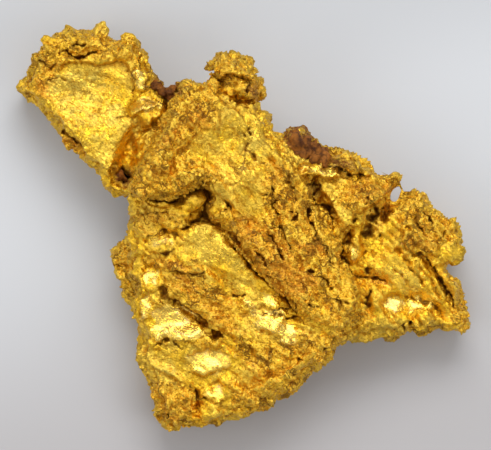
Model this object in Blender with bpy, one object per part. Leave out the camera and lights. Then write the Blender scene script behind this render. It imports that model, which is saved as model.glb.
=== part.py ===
"""Gold nugget: a folded, crumpled plate of native gold with three grains of ironstone lodged in it.

The nugget lies on its back, broad face up, on the worn flats of its underside. The gold is one
solid, grown as one piece. Each ironstone grain is a solid of its own, in a pocket with a small
clearance. The frame's origin is the middle of the outline on the surface that the nugget rests on;
+X runs along its greatest length and +Z out of its broad face.

Run with: blender --background --python part.py
"""

from typing import NamedTuple

import bmesh
import bpy
import numpy as np
from mathutils import Matrix, Vector, noise

# Driving dimensions, in millimetres.
MM = 0.001
HEIGHT = 8.8  # resting face to the highest fold
FOLD_THICKNESS = 3.9  # of a typical lobe of the folded plate
CLEARANCE = 0.3  # between an ironstone grain and its pocket
VOXEL = 0.26  # grid that welds the lobes and sets the finest shape kept
GOLD_TRIANGLES = 7200
GRAIN_SUBDIVISIONS = 3

# How a lobe's rim rounds over: share of the way down its side, and how far in the rim lies there.
RIM = ((0.0, 0.7), (0.1, 0.3), (0.3, 0.05), (0.6, 0.0), (0.85, 0.45), (1.0, 1.0))

# Crumpling of the plate: size of the waves and how far they move the surface.
CRUMPLE_WAVE = 3.1
CRUMPLE_TOP = 0.2
CRUMPLE_UNDER = 0.6
LUMP_WAVE = 1.2
LUMP_DEPTH = 0.18
EDGE_WAVE = 1.5
EDGE_DEPTH = 0.3

GOLD_COLOUR = (0.86, 0.55, 0.10, 1.0)
IRONSTONE_COLOUR = (0.16, 0.06, 0.025, 1.0)


class Lobe(NamedTuple):
    """One lobe of the folded plate: its outline seen from above, and the planes of its two faces."""

    outline: list  # corners, in order
    middle: tuple  # the point where the height is given
    top: float  # height of the upper face
    slope: tuple = (0.0, 0.0)  # rise of the upper face per millimetre of X and of Y
    thickness: float = FOLD_THICKNESS


class Lump(NamedTuple):
    """A rounded lump on the rim, as an ellipsoid."""

    at: tuple
    size: tuple  # half sizes in X, Y and Z
    turn: float = 0.0  # degrees about Z


class Trench(NamedTuple):
    """A crack or valley (depth above 0) or a ridge (depth below 0) that follows a path on the upper face."""

    path: list
    half_width: float
    depth: float


class Hollow(NamedTuple):
    """A dished hollow (depth above 0) or a swelling (depth below 0) on the upper face."""

    at: tuple
    size: tuple  # half sizes in X and Y
    depth: float


LOBES = {
    "head": Lobe(
        [(-15.15, 9.3), (-14.4, 8.5), (-13.6, 7.85), (-12.95, 6.9), (-12.5, 6.4), (-11.9, 5.4),
         (-11.0, 4.7), (-10.1, 4.15), (-9.75, 3.75), (-9.35, 3.4), (-9.15, 2.45), (-8.5, 2.2),
         (-7.3, 1.95), (-6.0, 2.6), (-5.4, 5.0), (-4.7, 7.4), (-5.1, 8.5), (-5.9, 9.9),
         (-6.4, 10.5), (-6.4, 11.4), (-6.8, 12.0), (-7.2, 12.6), (-8.1, 12.4), (-8.6, 11.95),
         (-9.0, 12.7), (-9.2, 13.3), (-9.7, 13.25), (-10.1, 13.05), (-11.4, 13.1),
         (-12.0, 13.2), (-12.7, 12.85), (-13.3, 12.55), (-13.35, 12.0), (-13.5, 11.6),
         (-14.05, 11.5), (-13.95, 11.0), (-14.4, 10.2)],
        middle=(-10.0, 8.5), top=5.3, slope=(0.09, -0.05), thickness=3.6,
    ),
    "centre": Lobe(
        [(-7.35, 2.05), (-6.2, 1.95), (-5.2, 1.75), (-4.4, 1.95), (-3.4, 2.35), (-2.5, 2.75),
         (-2.0, 1.1), (-1.2, -0.15), (0.2, -1.95), (1.6, -3.3), (2.8, -4.5), (3.6, -5.7),
         (4.6, -6.8), (6.0, -7.3), (7.4, -6.6), (8.2, -5.2), (7.5, -3.6), (6.9, -2.6),
         (6.3, -1.2), (5.7, 0.2), (4.9, 1.6), (4.2, 3.2), (3.2, 4.6), (2.3, 5.5), (1.95, 6.4),
         (1.85, 7.2), (1.5, 7.75), (0.6, 8.0), (-0.4, 8.3), (-1.5, 9.1), (-2.1, 9.6),
         (-3.0, 9.4), (-3.6, 9.75), (-4.15, 9.65), (-4.3, 9.0), (-4.9, 7.9), (-5.5, 6.6),
         (-6.4, 4.9), (-7.0, 3.4)],
        middle=(-0.5, 3.0), top=7.8, slope=(-0.11, 0.04), thickness=5.6,
    ),
    "step": Lobe(
        [(-7.55, 2.0), (-7.65, 1.3), (-7.6, 0.3), (-7.7, -0.5), (-6.6, -0.6), (-5.2, -0.1),
         (-4.2, -0.2), (-3.3, 0.5), (-2.8, 1.2), (-2.5, 2.5), (-3.6, 2.6), (-5.6, 2.4)],
        middle=(-5.4, 0.8), top=6.4, slope=(0.16, 0.05), thickness=4.0,
    ),
    "lower": Lobe(
        [(-7.7, -0.5), (-7.5, -2.0), (-7.4, -4.0), (-7.3, -5.6), (-7.05, -6.3), (-7.0, -7.4),
         (-7.1, -8.5), (-7.0, -9.2), (-6.55, -9.8), (-6.15, -10.6), (-6.2, -11.1), (-6.05, -11.8),
         (-5.9, -12.4), (-5.85, -12.9), (-5.5, -13.3), (-4.8, -13.6), (-4.2, -13.4),
         (-2.7, -13.3), (-1.9, -13.1), (-1.2, -13.05), (-0.3, -12.75), (0.4, -12.6), (1.4, -12.3),
         (2.1, -11.75), (3.0, -11.35), (3.7, -10.8), (4.25, -9.95), (4.9, -9.5), (5.6, -9.2),
         (6.0, -8.5), (6.45, -7.8), (7.4, -7.4), (6.0, -5.6), (3.6, -3.0), (0.8, 0.5), (-2.0, 2.2),
         (-5.0, 1.0)],
        middle=(-1.5, -6.0), top=5.7, slope=(0.10, 0.15),
    ),
    "flap": Lobe(
        [(-8.8, -2.0), (-8.45, -1.2), (-7.9, -0.85), (-6.6, -0.8), (-6.4, -5.4), (-7.3, -6.0),
         (-7.7, -5.2), (-8.1, -4.2), (-8.65, -3.1)],
        middle=(-7.9, -3.0), top=3.9, slope=(0.25, 0.0), thickness=2.0,
    ),
    "upper_wing": Lobe(
        [(2.4, 5.5), (2.5, 6.1), (3.1, 6.6), (4.0, 6.65), (4.5, 6.15), (5.1, 5.6), (5.75, 5.2),
         (6.2, 5.3), (6.9, 4.95), (7.8, 4.7), (8.45, 4.05), (8.95, 3.45), (9.5, 3.3),
         (10.2, 3.7), (10.5, 3.35), (10.3, 2.7), (9.95, 2.2), (9.8, 1.6), (9.0, 1.3),
         (8.4, 0.2), (7.2, -0.3), (6.3, -1.2), (5.3, 0.6), (3.6, 2.4), (2.4, 4.4)],
        middle=(6.6, 3.0), top=6.1, slope=(-0.14, 0.02),
    ),
    "lower_wing": Lobe(
        [(9.2, 1.6), (8.2, 0.6), (7.0, 0.2), (6.2, -1.2), (6.4, -2.8), (5.6, -5.2), (5.4, -7.4),
         (6.5, -7.7), (7.2, -7.75), (8.3, -7.7), (8.9, -7.3), (9.7, -7.45), (10.1, -7.6),
         (10.8, -7.0), (11.6, -7.0), (11.95, -7.2), (12.4, -7.2), (12.7, -6.65), (13.3, -6.85),
         (14.5, -7.1), (14.95, -6.9), (15.1, -6.0), (14.9, -5.2), (14.7, -4.3), (14.45, -3.6),
         (13.95, -3.5), (13.45, -3.0), (13.3, -2.2), (14.3, -1.1), (14.6, -0.8), (14.35, -0.1),
         (14.1, 0.45), (13.5, 0.5), (13.1, 1.05), (12.6, 1.15), (12.3, 2.05), (11.6, 2.4),
         (11.2, 2.15), (10.5, 2.3), (10.3, 1.75)],
        middle=(10.2, -3.0), top=5.0, slope=(-0.13, 0.09), thickness=3.5,
    ),
    "lower_rim": Lobe(
        [(-3.0, -13.0), (1.2, -12.1), (3.4, -10.9), (4.8, -9.2), (5.9, -8.2), (4.2, -8.0),
         (2.4, -9.4), (0.0, -11.0), (-2.6, -11.6)],
        middle=(1.5, -10.6), top=5.0, slope=(0.06, 0.10), thickness=2.4,
    ),
}

LUMPS = {
    "horn": Lump((-9.4, 13.2, 4.9), (0.34, 0.42, 0.5)),
    "head_knuckle": Lump((-7.6, 12.2, 5.1), (0.62, 0.66, 0.9)),
    "head_side_knuckle": Lump((-6.45, 11.05, 4.9), (0.30, 0.45, 0.6)),
    "head_corner": Lump((-13.0, 12.3, 4.9), (0.55, 0.42, 0.7), 30),
    "head_wart": Lump((-13.85, 11.35, 4.5), (0.32, 0.32, 0.5)),
    "knob_cap": Lump((-0.75, 10.75, 6.3), (1.60, 0.86, 1.25), -12),
    "knob_body": Lump((-0.35, 9.55, 6.1), (1.35, 0.88, 1.3), -5),
    "knob_side": Lump((0.95, 8.95, 5.7), (0.62, 0.66, 0.9)),
    "knob_neck": Lump((-0.8, 8.6, 5.4), (1.25, 1.1, 1.4)),
    "amber_bead": Lump((13.85, -1.75, 4.1), (0.98, 0.88, 1.0), -20),
    "wing_knuckle": Lump((10.15, 3.35, 4.9), (0.42, 0.38, 0.6)),
}

TRENCHES = {
    "neck_valley": Trench([(-5.2, 7.5), (-6.3, 6.7), (-7.2, 5.6), (-7.7, 4.4), (-8.1, 3.4)], 1.0, 1.5),
    "shoulder_crest": Trench([(-3.4, 8.6), (-4.8, 7.0), (-5.6, 5.0), (-6.2, 3.2)], 0.9, -0.45),
    "head_rim": Trench([(-14.2, 9.6), (-13.0, 11.6), (-11.6, 12.4), (-9.6, 12.3), (-7.8, 11.6)], 0.8, -0.55),
    "head_slot": Trench([(-11.5, 11.7), (-10.9, 11.3), (-9.7, 11.7)], 0.38, 0.9),
    "head_side_slot": Trench([(-12.0, 6.5), (-11.5, 5.9), (-11.0, 5.2)], 0.32, 1.0),
    "fold_crack": Trench(
        [(-7.2, 2.05), (-6.0, 1.9), (-5.0, 1.65), (-4.4, 1.8), (-3.4, 2.3), (-2.6, 2.8)], 0.38, 1.3),
    "fold_mouth": Trench([(-2.55, 3.0), (-2.35, 1.9), (-2.6, 1.0), (-3.4, 0.3)], 0.5, 1.9),
    "strap_edge": Trench(
        [(-2.6, 0.6), (-1.8, 0.4), (-1.1, -0.5), (0.1, -2.0), (1.4, -3.3), (2.7, -4.6), (3.8, -6.1)],
        0.42, 1.2),
    "step_edge": Trench([(-6.6, -0.65), (-5.2, -0.2), (-4.3, -0.6)], 0.32, 0.8),
    "lower_crack": Trench([(-5.4, -4.3), (-4.0, -5.2), (-3.0, -5.9), (-1.6, -7.2)], 0.38, 1.0),
    "flap_crevice": Trench([(-7.5, -1.2), (-7.5, -3.2), (-7.4, -5.0)], 0.34, 1.0),
    "wing_crevice": Trench([(4.6, 3.1), (4.6, 2.2), (5.3, 1.4), (5.9, 0.9), (5.9, 0.0)], 0.48, 1.8),
    "wing_crevice_end": Trench([(7.1, -0.2), (6.8, -1.0), (6.5, -2.1)], 0.45, 1.7),
    "wing_slit": Trench([(5.4, 4.3), (6.2, 3.9), (7.0, 3.5), (8.2, 3.4)], 0.32, 0.9),
    "wing_notch": Trench([(9.6, 1.7), (9.4, 0.5)], 0.5, 1.3),
    "lath_crevice": Trench([(11.3, -1.8), (12.1, -1.9), (12.9, -3.1), (14.2, -4.9), (14.1, -5.5)], 0.36, 1.1),
    "lath_groove": Trench([(11.0, -4.4), (12.8, -5.4), (13.5, -6.1)], 0.45, 0.6),
    "wing_floor_slit": Trench([(7.3, -3.3), (8.5, -3.4), (9.6, -3.7)], 0.45, 0.8),
    "tip_valley": Trench([(-3.3, -10.8), (-3.0, -11.6), (-3.5, -12.5)], 0.6, 0.9),
    "strap_seam": Trench([(1.9, 2.8), (2.1, 1.2), (2.4, 0.4), (2.9, -0.9), (3.3, -1.8)], 0.35, 0.5),
    "strap_split": Trench([(4.3, 1.2), (4.8, -0.6), (5.4, -1.8), (6.0, -2.8)], 0.35, 0.6),
    "scarp": Trench([(-3.0, 6.4), (-3.9, 5.4), (-4.6, 4.6), (-4.9, 3.6)], 0.4, 0.45),
}

# Folds of the underside, each a ridge that hangs below the lower face. The lowest are worn flat.
UNDERSIDE = {
    "head_fold": Trench([(-13.6, 9.9), (-11.0, 8.6), (-7.6, 5.0)], 2.3, -2.0),
    "head_tuck": Trench([(-10.2, 12.6), (-8.6, 8.4)], 1.2, -1.1),
    "left_fold": Trench([(-5.2, -12.6), (-4.9, -8.0), (-5.8, -3.2), (-4.6, 1.0)], 2.0, -2.1),
    "belly_fold": Trench([(-3.6, 7.6), (0.0, 4.4), (3.0, 0.8), (4.6, -3.6)], 2.6, -1.7),
    "rim_fold": Trench([(-2.6, -11.2), (1.4, -9.2), (5.6, -7.0)], 1.5, -1.9),
    "wing_fold": Trench([(7.2, -6.0), (10.6, -4.6), (13.6, -5.4)], 1.9, -2.2),
    "far_fold": Trench([(13.2, -1.4), (11.4, 0.6), (8.0, 3.2)], 1.5, -1.9),
}

HOLLOWS = {
    "head_dish": Hollow((-10.0, 8.8), (3.0, 2.2), 0.55),
    "neck_pit": Hollow((-8.1, 3.2), (0.95, 0.85), 1.6),
    "plateau": Hollow((-1.4, 4.9), (2.9, 2.0), 0.5),
    "plateau_end": Hollow((0.6, 0.6), (1.5, 1.6), 0.25),
    "wing_pit": Hollow((8.4, -0.35), (0.6, 0.5), 1.2),
    "wing_pool": Hollow((10.6, -5.3), (1.8, 0.8), 0.5),
    "lower_bright": Hollow((-4.6, -6.5), (2.0, 0.8), 0.35),
    "lower_basin": Hollow((-2.4, -9.6), (1.9, 1.5), 0.4),
}

# A slot right through the plate, where the wing's two lobes part.
GAP_AT = (10.17, 2.12)
GAP_SIZE = (0.26, 0.52)  # half sizes in X and Y
GAP_TURN = -18.0

# Each ironstone grain: its two halves as ellipsoids that overlap.
GRAINS = {
    "ironstone_wing": [
        Lump((3.8, 5.22, 5.65), (1.02, 0.7, 0.75), -28),
        Lump((4.75, 4.75, 5.45), (0.92, 0.6, 0.7), -28),
    ],
    "ironstone_neck": [
        Lump((-4.95, 8.85, 5.7), (0.62, 0.52, 0.7), 10),
        Lump((-5.75, 9.25, 5.4), (0.45, 0.42, 0.5), -20),
    ],
    "ironstone_pit": [
        Lump((-8.3, 3.3, 3.75), (0.6, 0.5, 0.45), 20),
        Lump((-7.75, 3.0, 3.75), (0.45, 0.45, 0.45), 0),
    ],
}


def clear_scene():
    for obj in list(bpy.data.objects):
        bpy.data.objects.remove(obj, do_unlink=True)


def material(name, colour, metallic, roughness):
    made = bpy.data.materials.new(name)
    made.use_nodes = True
    shader = made.node_tree.nodes["Principled BSDF"]
    shader.inputs["Base Color"].default_value = colour
    shader.inputs["Metallic"].default_value = metallic
    shader.inputs["Roughness"].default_value = roughness
    return made


def link(name, mesh):
    obj = bpy.data.objects.new(name, mesh)
    bpy.context.scene.collection.objects.link(obj)
    return obj


def inset(outline, amount):
    """The outline's corners moved inwards by amount."""
    here = np.array(outline)
    before, after = np.roll(here, 1, axis=0), np.roll(here, -1, axis=0)
    run = after - before
    inward = np.stack([-run[:, 1], run[:, 0]], axis=1) / np.linalg.norm(run, axis=1)[:, None]
    area = np.sum(here[:, 0] * after[:, 1] - here[:, 1] * after[:, 0])
    return here + inward * amount * np.sign(area)


def add_lobe(bm, lobe):
    """Adds a lobe as a slab between its two sloping faces, with a rim that rounds over."""
    rings = []
    for share, amount in RIM:
        flat = inset(lobe.outline, amount)
        height = lobe.top - share * lobe.thickness + (flat - np.array(lobe.middle)) @ np.array(lobe.slope)
        rings.append([bm.verts.new((*point, z)) for point, z in zip(flat, height)])
    bm.faces.new(rings[0])
    bm.faces.new(reversed(rings[-1]))
    count = len(lobe.outline)
    for upper, lower in zip(rings, rings[1:]):
        for i in range(count):
            j = (i + 1) % count
            bm.faces.new((upper[j], upper[i], lower[i], lower[j]))


def add_lump(bm, lump, grow=0.0, subdivisions=GRAIN_SUBDIVISIONS):
    """Adds an ellipsoid, grown on all sides by grow."""
    size = Matrix.Diagonal([half + grow for half in lump.size] + [1.0])
    turned = Matrix.Rotation(np.radians(lump.turn), 4, "Z")
    bmesh.ops.create_icosphere(
        bm, subdivisions=subdivisions, radius=1.0,
        matrix=Matrix.Translation(lump.at) @ turned @ size,
    )


def mesh_of(name, bm):
    bmesh.ops.recalc_face_normals(bm, faces=bm.faces)
    mesh = bpy.data.meshes.new(name)
    bm.to_mesh(mesh)
    bm.free()
    return mesh


def with_modifiers_applied(obj):
    """Replaces the object's mesh by the one that its modifiers make, and drops the modifiers."""
    bpy.context.view_layer.update()
    graph = bpy.context.evaluated_depsgraph_get()
    made = bpy.data.meshes.new_from_object(obj.evaluated_get(graph))
    obj.modifiers.clear()
    obj.data = made


def add_remesh(obj, voxel):
    weld = obj.modifiers.new("Weld lobes", "REMESH")
    weld.mode = "VOXEL"
    weld.voxel_size = voxel


def arrays_of(mesh):
    """(points, vertex normals) of a mesh."""
    points = np.empty(len(mesh.vertices) * 3, np.float32)
    normals = np.empty_like(points)
    mesh.vertices.foreach_get("co", points)
    mesh.vertices.foreach_get("normal", normals)
    return points.reshape(-1, 3).astype(float), normals.reshape(-1, 3).astype(float)


def smoothstep(low, high, values):
    t = np.clip((values - low) / (high - low), 0.0, 1.0)
    return t * t * (3.0 - 2.0 * t)


def distance_to_path(flat, path):
    """The distance of each point of flat from a path of straight runs."""
    nearest = np.full(len(flat), np.inf)
    for start, end in zip(path, path[1:]):
        start, run = np.array(start), np.subtract(end, start)
        along = np.clip((flat - start) @ run / (run @ run), 0.0, 1.0)
        gap = np.linalg.norm(flat - start - along[:, None] * run, axis=1)
        nearest = np.minimum(nearest, gap)
    return nearest


def trenched(flat, trenches):
    """The height that these trenches add to a face at each point."""
    height = np.zeros(len(flat))
    for trench in trenches.values():
        near = distance_to_path(flat, trench.path) / trench.half_width
        height -= trench.depth * (1.0 - smoothstep(0.0, 1.0, near))
    return height


def hollowed(flat):
    """The height that the hollows add to the upper face at each point."""
    height = np.zeros(len(flat))
    for hollow in HOLLOWS.values():
        near = np.linalg.norm((flat - np.array(hollow.at)) / np.array(hollow.size), axis=1)
        height -= hollow.depth * (1.0 - smoothstep(0.2, 1.1, near))
    return height


def waves(points, wave, shift):
    """Smooth noise from -1 to 1, with waves of this length."""
    return np.array([noise.noise(Vector(p) / wave + Vector((shift, shift, shift))) for p in points])


def crumple(mesh):
    """Works the trenches, hollows and crumpling into the welded lobes."""
    points, normals = arrays_of(mesh)
    facing_up = smoothstep(0.1, 0.6, normals[:, 2])
    facing_down = smoothstep(0.0, 0.5, -normals[:, 2])
    facing_out = 1.0 - facing_up - facing_down
    flat = points[:, :2].copy()
    points[:, 2] += facing_up * (trenched(flat, TRENCHES) + hollowed(flat))
    points[:, 2] -= facing_down * trenched(flat, UNDERSIDE)
    big = waves(points, CRUMPLE_WAVE, 3.7)
    small = waves(points, LUMP_WAVE, 11.3)
    edge = waves(points, EDGE_WAVE, 23.9)
    lift = (CRUMPLE_TOP * facing_up + CRUMPLE_UNDER * facing_down) * big + LUMP_DEPTH * small
    points[:, 2] += lift * np.sign(normals[:, 2]) * (facing_up + facing_down)
    points += normals * (EDGE_DEPTH * edge * facing_out)[:, None]
    mesh.vertices.foreach_set("co", points.astype(np.float32).ravel())
    mesh.update()


def cutter(name, mesh):
    obj = link(name, mesh)
    obj.hide_render = True
    obj.display_type = "WIRE"
    return obj


def add_cut(obj, tool):
    cut = obj.modifiers.new(tool.name, "BOOLEAN")
    cut.operation = "DIFFERENCE"
    cut.solver = "EXACT"
    cut.object = tool


def resting_face_cutter(depth=3.0 * MM, margin=20.0 * MM):
    """A block whose top is the surface that the nugget rests on. It wears the lowest folds flat."""
    bm = bmesh.new()
    bmesh.ops.create_cube(bm, size=1.0)
    bmesh.ops.scale(bm, vec=(2 * margin, 2 * margin, depth), verts=bm.verts)
    bmesh.ops.translate(bm, vec=(0.0, 0.0, -depth / 2), verts=bm.verts)
    return cutter("resting_face_cutter", mesh_of("resting_face_cutter", bm))


def gap_cutter(height=12.0):
    """An upright oval rod, a little wider at the top."""
    bm = bmesh.new()
    size = Matrix.Diagonal((*GAP_SIZE, 1.0, 1.0))
    turned = Matrix.Rotation(np.radians(GAP_TURN), 4, "Z")
    bmesh.ops.create_cone(
        bm, cap_ends=True, segments=10, radius1=0.85, radius2=1.15, depth=height,
        matrix=Matrix.Translation((*GAP_AT, height / 2 - 1.0)) @ turned @ size,
    )
    return cutter("gap_cutter", mesh_of("gap_cutter", bm))


def grain_mesh(name, lumps, grow=0.0):
    """The union of a grain's ellipsoids, roughened, as one closed mesh."""
    bm = bmesh.new()
    for lump in lumps:
        add_lump(bm, lump, grow)
    obj = link(name + "_draft", mesh_of(name, bm))
    add_remesh(obj, VOXEL * 0.6)
    with_modifiers_applied(obj)
    points, normals = arrays_of(obj.data)
    if not grow:
        points -= normals * (0.05 + 0.05 * waves(points, 0.5, 5.1))[:, None]
    obj.data.vertices.foreach_set("co", points.astype(np.float32).ravel())
    less = obj.modifiers.new("Fewer faces", "DECIMATE")
    less.ratio = 0.24
    with_modifiers_applied(obj)
    mesh = obj.data
    bpy.data.objects.remove(obj)
    return mesh


def build_gold():
    """The gold: lobes and lumps welded to one body, crumpled, then thinned to few triangles."""
    bm = bmesh.new()
    for lobe in LOBES.values():
        add_lobe(bm, lobe)
    for lump in LUMPS.values():
        add_lump(bm, lump)
    gold = link("gold_body", mesh_of("gold_body", bm))
    add_remesh(gold, VOXEL)
    soften = gold.modifiers.new("Round the edges", "SMOOTH")
    soften.factor, soften.iterations = 0.5, 4
    with_modifiers_applied(gold)
    crumple(gold.data)
    add_remesh(gold, VOXEL)
    with_modifiers_applied(gold)
    gold.data.calc_loop_triangles()
    less = gold.modifiers.new("Fewer faces", "DECIMATE")
    less.ratio = GOLD_TRIANGLES / len(gold.data.loop_triangles)
    with_modifiers_applied(gold)
    return gold


def settle(gold, others):
    """Centres the outline on the origin and makes the highest fold HEIGHT high. The others move with it."""
    points, _ = arrays_of(gold.data)
    low, high = points.min(axis=0), points.max(axis=0)
    middle = (low + high) / 2
    place = Matrix.Diagonal((MM, MM, MM * HEIGHT / high[2], 1.0))
    place = place @ Matrix.Translation((-middle[0], -middle[1], 0.0))
    for obj in [gold, *others]:
        obj.data.transform(place)
        obj.data.update()


def main():
    clear_scene()
    gold_finish = material("gold", GOLD_COLOUR, 1.0, 0.35)
    ironstone_finish = material("ironstone", IRONSTONE_COLOUR, 0.0, 0.85)

    gold = build_gold()
    cutters = [
        cutter(name + "_pocket", grain_mesh(name + "_pocket", lumps, CLEARANCE))
        for name, lumps in GRAINS.items()
    ]
    cutters.append(gap_cutter())
    grains = [link(name, grain_mesh(name, lumps)) for name, lumps in GRAINS.items()]
    settle(gold, cutters + grains)
    for tool in [resting_face_cutter(), *cutters]:
        add_cut(gold, tool)
    for obj in [gold, *grains]:
        obj.data.materials.clear()
        obj.data.materials.append(ironstone_finish if obj in grains else gold_finish)
        obj.data.shade_smooth()


main()
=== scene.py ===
"""Gold nugget: the finish of its gold and ironstone, and the stage that it lies on.

The gold's skin is grown from the frame's own solid: a copy of its mesh is welded, remeshed to a fine
even grid, and then worked with folds, scarps, cracks, crumpled metal and a sugary crust. The working
is a sum of height fields over the grid, since a natural surface has no profile to extrude.
"""

import math
from typing import NamedTuple

import bmesh
import bpy
import numpy as np
from mathutils import Matrix, Vector
from mathutils.kdtree import KDTree


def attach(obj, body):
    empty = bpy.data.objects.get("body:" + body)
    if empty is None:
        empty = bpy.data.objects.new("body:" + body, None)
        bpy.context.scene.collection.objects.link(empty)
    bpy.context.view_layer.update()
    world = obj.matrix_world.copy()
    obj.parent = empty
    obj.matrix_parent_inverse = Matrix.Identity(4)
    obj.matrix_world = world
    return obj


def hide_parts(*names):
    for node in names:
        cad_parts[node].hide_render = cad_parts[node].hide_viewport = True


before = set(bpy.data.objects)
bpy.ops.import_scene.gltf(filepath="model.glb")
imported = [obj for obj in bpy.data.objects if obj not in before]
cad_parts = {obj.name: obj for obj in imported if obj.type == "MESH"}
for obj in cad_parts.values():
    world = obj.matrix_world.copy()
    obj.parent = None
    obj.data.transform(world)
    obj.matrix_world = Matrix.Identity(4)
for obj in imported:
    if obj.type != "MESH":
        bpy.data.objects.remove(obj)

bl_info = {
    "name": "Gold Nugget",
    "version": (1, 0, 0),
    "blender": (4, 5, 0),
    "location": "View3D > Sidebar > Nugget",
    "description": "Builds a crumpled gold nugget with grains of ironstone, and a pale stage for it",
    "category": "Add Mesh",
}

MM = 0.001  # the tables and the fields below are in millimetres, and the meshes in metres
TOP = 8.95  # nothing stands higher than this
RESTING = 0.03  # what lies lower than this rests on the floor, and stays flat
BULGES = {"ironstone_wing": 0.42, "ironstone_neck": 0.0}  # how far a grain bulges past its solid
BULGE = 0.12  # the other grains' bulge
GAP_SIZE = (1.0, 1.3)  # half sizes of the gap that light shows through
GAP_FLOOR = 4.6  # the underside is lifted to this height at the gap
GAP_THINNING = 0.08  # how much thinner the skin is made there, on each side
SOWING = "sow"  # the name under which the skin stores where crystals stand
CRYSTAL_SIZE, CRYSTAL_SPREAD = 0.09, 0.18  # the least size of a crystal, and how much larger the largest is
CRYSTAL_CLEARANCE = 0.02  # crystals stay this far above the floor
CRYSTAL_SUNK = 0.25  # how deep a crystal's middle lies in the skin, as a share of its size
CRYSTAL_MASKS = {"relief": (0.4, 0.4), "hollow": (0.0, 0.3), "dirt_and_shade": (0.0, 0.3)}  # least, share of the skin's
WELD = 2e-6  # corners of a solid that are nearer than this, in metres, are merged
GRIT = "Mineral grit"
MID_GREY = (0.5, 0.5, 0.5)
FLOOR_SIZE = 1.6  # metres
NEAR_SHADE, FAR_SHADE = (0.76, 0.72, 0.70), 0.89  # shares of the floor's colour at the frame's foot and head: painted shade, darker and warmer at the foot
NEAR_FADE, FAR_FADE = (-16.0, 3.0), (7.0, 15.0)  # where the floor's tone changes, in millimetres up the frame
FLOOR_LEAN = -0.15  # how far that change runs askew
WORLD_LOW, WORLD_HIGH = (0.54, 0.50, 0.44, 1.0), (1.0, 1.0, 1.0, 1.0)
FRAME_WIDTH = 32.73 * MM
FRAME_MIDDLE = (0.133 * MM, 0.1 * MM)
FOCUS_HEIGHT = 5.0 * MM
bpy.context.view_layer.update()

# ---- Where things are on the broad face, in millimetres, seen from above: +X right, +Y up the face.


class Crack(NamedTuple):
    """A trench along a path. A depth below 0 makes a ridge."""

    path: list
    half_width: float
    depth: float
    dirt_and_shade: float = 1.0  # how much dirt and painted shade lie in it


class Scarp(NamedTuple):
    """A step along a path. The side to the left, walking along it, stands higher."""

    path: list
    height: float
    reach: float  # how far back from the edge the raised side runs out


class Pit(NamedTuple):
    """A dished hole, or a lump where depth is below 0."""

    at: tuple
    size: tuple  # half sizes along and across
    depth: float
    turn: float = 0.0  # degrees
    dirt_and_shade: float = 0.6


class Hollow(NamedTuple):
    """A sunken area with a steep edge. A depth below 0 makes a raised plate."""

    outline: list
    depth: float
    dirt_and_shade: float = 0.7


class Fill(NamedTuple):
    """A plane that fills whatever lies below it, and presses down what stands above it if pressed is 1.

    Its height is at its middle.
    """

    at: tuple
    reach: float
    height: float
    slope: tuple = (0.0, 0.0)
    pressed: int = 0


class Facet(NamedTuple):
    """A patch tilted as one plane."""

    at: tuple
    size: tuple
    turn: float
    slope: tuple  # rise per millimetre of X and of Y


class Patch(NamedTuple):
    """A region of a finish."""

    outline: list
    amount: float = 1.0
    softness: float = 0.25


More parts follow.
